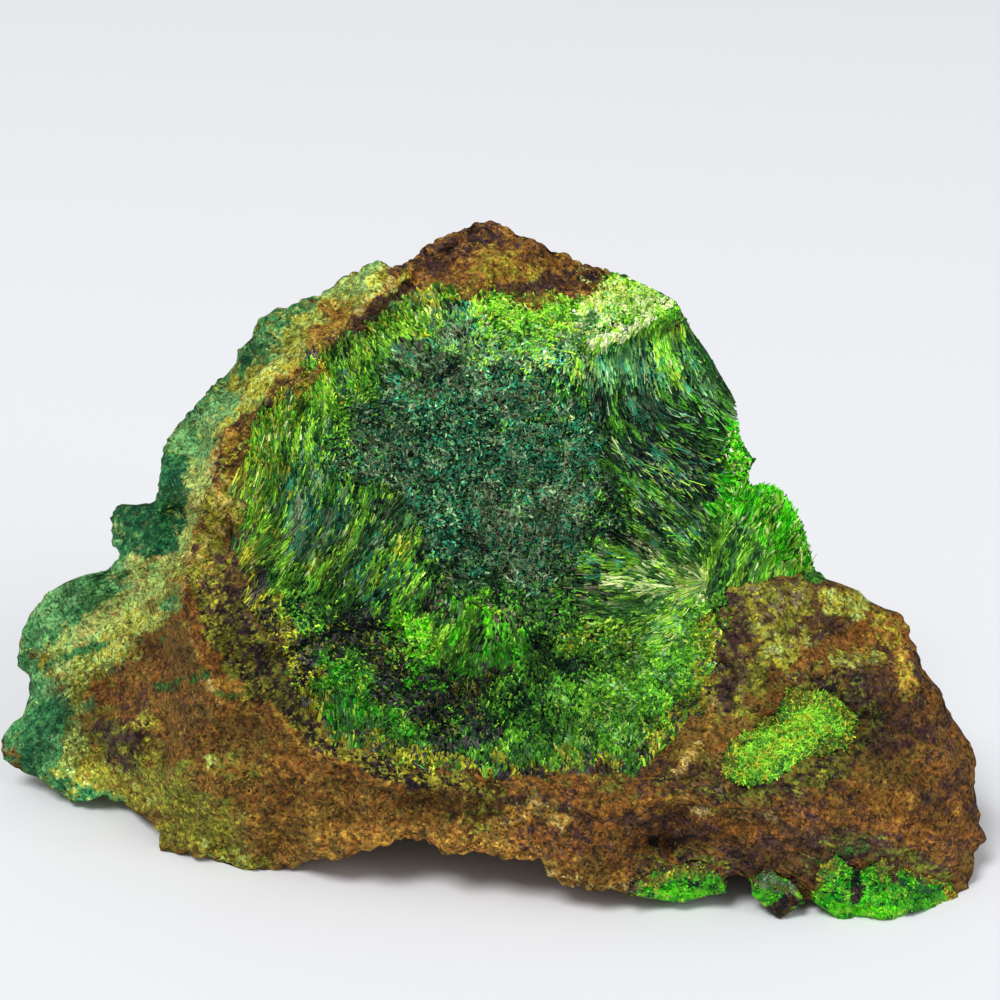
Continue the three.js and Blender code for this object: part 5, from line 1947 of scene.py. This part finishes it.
    @staticmethod
    def crystal_shape(
        foot: Array, axis: Array, spin: Array, length: Array, width: Array, tint: Array
    ) -> Shape:
        """Closed three-sided crystals, each a foot ring and a slanting end.

        Args:
            foot: Middle of each crystal's foot.
            axis: Its direction, of length one.
            spin: Turn of its ring about the axis.
            length: Length from foot to end.
            width: Width of its foot ring.
            tint: Its colour; the foot is darker, as painted shade, and the end lighter, as painted light.

        Returns:
            All crystals as one shape.
        """
        aside = np.cross(axis, np.array((0.31, -0.57, 0.76)))
        aside /= np.linalg.norm(aside, axis=1)[:, None]
        upward = np.cross(axis, aside)
        rings = []
        for end, girth in ((0.0, 0.5), (1.0, 0.38)):
            for corner in range(3):
                turn = spin + corner * 2.0 * np.pi / 3.0
                reach = (width * girth)[:, None]
                ring = aside * np.cos(turn)[:, None] + upward * np.sin(turn)[:, None]
                slant = end * 0.45 * width * (corner == 0)
                rings.append(foot + axis * (length * end + slant)[:, None] + ring * reach)
        points = np.stack(rings, axis=1).reshape(-1, 3)
        points[:, 2] = np.maximum(points[:, 2], 0.0)
        faces = [(0, 2, 1), (3, 4, 5)]
        for here, there in ((0, 1), (1, 2), (2, 0)):
            faces += [(here, there, there + 3), (here, there + 3, here + 3)]
        start = np.arange(len(foot))[:, None, None] * 6
        triangles = (np.array(faces)[None] + start).reshape(-1, 3)
        # Painted shade at each crystal's foot and painted light at its end
        foot_shade_and_tip_light = np.array((0.7, 0.7, 0.7, 1.1, 1.1, 1.1))
        colours = (tint[:, None, :] * foot_shade_and_tip_light[None, :, None]).reshape(-1, 3)
        return Shape(points, triangles, colours)

    def dress(self) -> None:
        """Show the ground and the crystals in place of the plain crust."""
        material = crystal_finish(self.finish, self.roughness)
        pieces = [show_shape(f"{self.name}_ground", self.ground(), material, True)]
        for number, growth in enumerate(self.growths, 1):
            name = f"{self.name}_needles_{number}"
            pieces.append(show_shape(name, self.crystals(growth), material, False))
        for piece in pieces:
            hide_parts(self.node)


def lay_floor() -> None:
    """Lay the floor, which isn't part of the specimen."""
    reach = 3.0
    mesh = bpy.data.meshes.new("floor")
    corners = [(-reach, -reach, 0), (reach, -reach, 0), (reach, reach, 0), (-reach, reach, 0)]
    mesh.from_pydata(corners, [], [(0, 1, 2, 3)])
    mesh.materials.append(floor_finish())
    floor = bpy.data.objects.new("floor", mesh)
    bpy.context.scene.collection.objects.link(floor)


def hang_softbox(name: str, place: tuple[float, float, float], size: float, power: float) -> None:
    """Hang a square area light that faces the specimen.

    Args:
        name: Name of the light.
        place: Where it hangs, in metres.
        size: Width of its square, in metres.
        power: Its power in watts.
    """
    data = bpy.data.lights.new(name, "AREA")
    data.size = size
    data.energy = power
    light = bpy.data.objects.new(name, data)
    across, deep, high = place
    light.location = place
    flat = math.hypot(across, deep)
    light.rotation_euler = (math.atan2(flat, high), 0.0, math.atan2(deep, across) + math.pi / 2)
    bpy.context.scene.collection.objects.link(light)


def light_surroundings(strength: float) -> None:
    """Set an even pale light from all round.

    Args:
        strength: Strength of the light.
    """
    world = bpy.data.worlds.new("studio")
    world.use_nodes = True
    background = world.node_tree.nodes["Background"]
    background.inputs["Color"].default_value = (0.97, 0.98, 1.0, 1.0)
    background.inputs["Strength"].default_value = strength
    bpy.context.scene.world = world


def stand_camera() -> None:
    """Stand the camera 181 mm in front of the face's middle, looking down by the lean."""
    data = bpy.data.cameras.new("front_view")
    data.sensor_width = 36.0
    data.lens = data.sensor_width * VIEW_DISTANCE / (VIEW_WIDTH * FACE_SCALE)
    data.clip_start = 0.005
    data.clip_end = 50.0
    camera = bpy.data.objects.new("front_view", data)
    across, deep, high = REST
    deep -= VIEW_DISTANCE * math.cos(LEAN)
    high += VIEW_DISTANCE * math.sin(LEAN)
    camera.location = (across * MM, deep * MM, high * MM)
    camera.rotation_euler = (math.pi / 2 - LEAN, 0.0, 0.0)
    bpy.context.scene.collection.objects.link(camera)
    bpy.context.scene.camera = camera


def set_up_studio() -> None:
    """Build the camera, the floor and the lights."""
    stand_camera()
    lay_floor()
    hang_softbox("key", (-0.60, -0.90, 1.60), 0.7, 26.5)
    hang_softbox("fill", (1.20, -0.90, 1.00), 1.0, 8.0)
    light_surroundings(0.44)
    bpy.context.scene.view_settings.view_transform = "Standard"


def crusts(relief: Relief) -> tuple[CrystalCrust, ...]:
    """The crystal mat and the four smaller crusts.

    Args:
        relief: The stone's surfaces.

    Returns:
        The crusts, the mat first.
    """
    mat = CrystalCrust(
        "crystal_mat", "crystal_mat", "needle_crystals", relief, ClosedLine(MAT_RIM, STAR_CENTRE),
        MAT_MARKS, MEADOW, MAT_STAINS,
        (
            # The sixth number of each growth is its brightness: painted shade on the lower growths and
            # painted light on the upper ones
            Growth(3.05, 0.6, 0.27, 0.24, 50.0, 0.55, 1),
            Growth(3.0, 0.5, 0.22, 0.12, 30.0, 0.88, 2),
            Growth(3.0, 0.46, 0.19, 0.05, 22.0, 1.15, 3),
            Growth(3.0, 0.42, 0.165, 0.0, 14.0, 1.38, 4, 0.99),
            Growth(3.3, 0.5, 0.11, 0.02, 9.0, 0.95, 5, 0.97, 0.0, 0.24, 0.4, BLADES),
            Growth(3.3, 0.4, 0.12, 0.01, 7.0, 0.95, 6, 0.95, 0.0, 0.07, 0.8, BLADES),
        ),
        "needle_crystals", MAT_RIM, bed=1.3, thickness=3.0, edge=1.2, rays=420, rows=64,
        painted_lights=MAT_PAINTED_LIGHT,
    )
    patch = CrystalCrust(
        "shoulder_patch", "shoulder_patch", "lime_crystals", relief,
        ClosedLine(PATCH_RIM, PATCH_MIDDLE), PATCH_MARKS, MEADOW, PATCH_STAINS,
        (
            Growth(2.5, 0.5, 0.2, 0.16, 40.0, 0.7, 21, 1.0),
            Growth(2.2, 0.45, 0.14, 0.08, 18.0, 1.2, 22, 0.98),
            Growth(2.6, 0.6, 0.09, 0.03, 9.0, 1.5, 23, 0.96),
        ),
        "needle_crystals", PATCH_RIM, painted_lights=PATCH_PAINTED_LIGHT,
    )
    made = [mat, patch]
    for name, rim, middle, seed in (
        ("edge_crust_left", EDGE_LEFT_RIM, (684, 883), 11),
        ("edge_crust_middle", EDGE_MIDDLE_RIM, (774, 892), 14),
        ("edge_crust_right", EDGE_RIGHT_RIM, (880, 893), 17),
    ):
        made.append(CrystalCrust(
            name, name, "edge_crystals", relief, ClosedLine(rim, middle), EDGE_MARKS, EDGE_GLOW,
            EDGE_STAINS,
            (
                Growth(2.1, 0.3, 0.16, 0.17, 12.0, 0.8, seed, 1.0),
                Growth(2.4, 0.24, 0.12, 0.12, 8.0, 0.95, seed + 1, 0.99, 0.5),
            ),
            "edge_crystals", rim, thickness=1.5, edge=0.8, rays=200, rows=30, painted_lights=EDGE_PAINTED_LIGHT,
            lower=0.14, shade=0.8, lumpy=1.8, roughness=0.4,
        ))
    return tuple(made)


def main() -> None:
    """Build the studio, the rock and its crusts."""
    logging.basicConfig(level=logging.INFO)
    set_up_studio()
    relief = Relief()
    made = crusts(relief)
    HostRock(relief, made).dress()
    for crust in made:
        crust.dress()


if __name__ == "__main__":
    main()
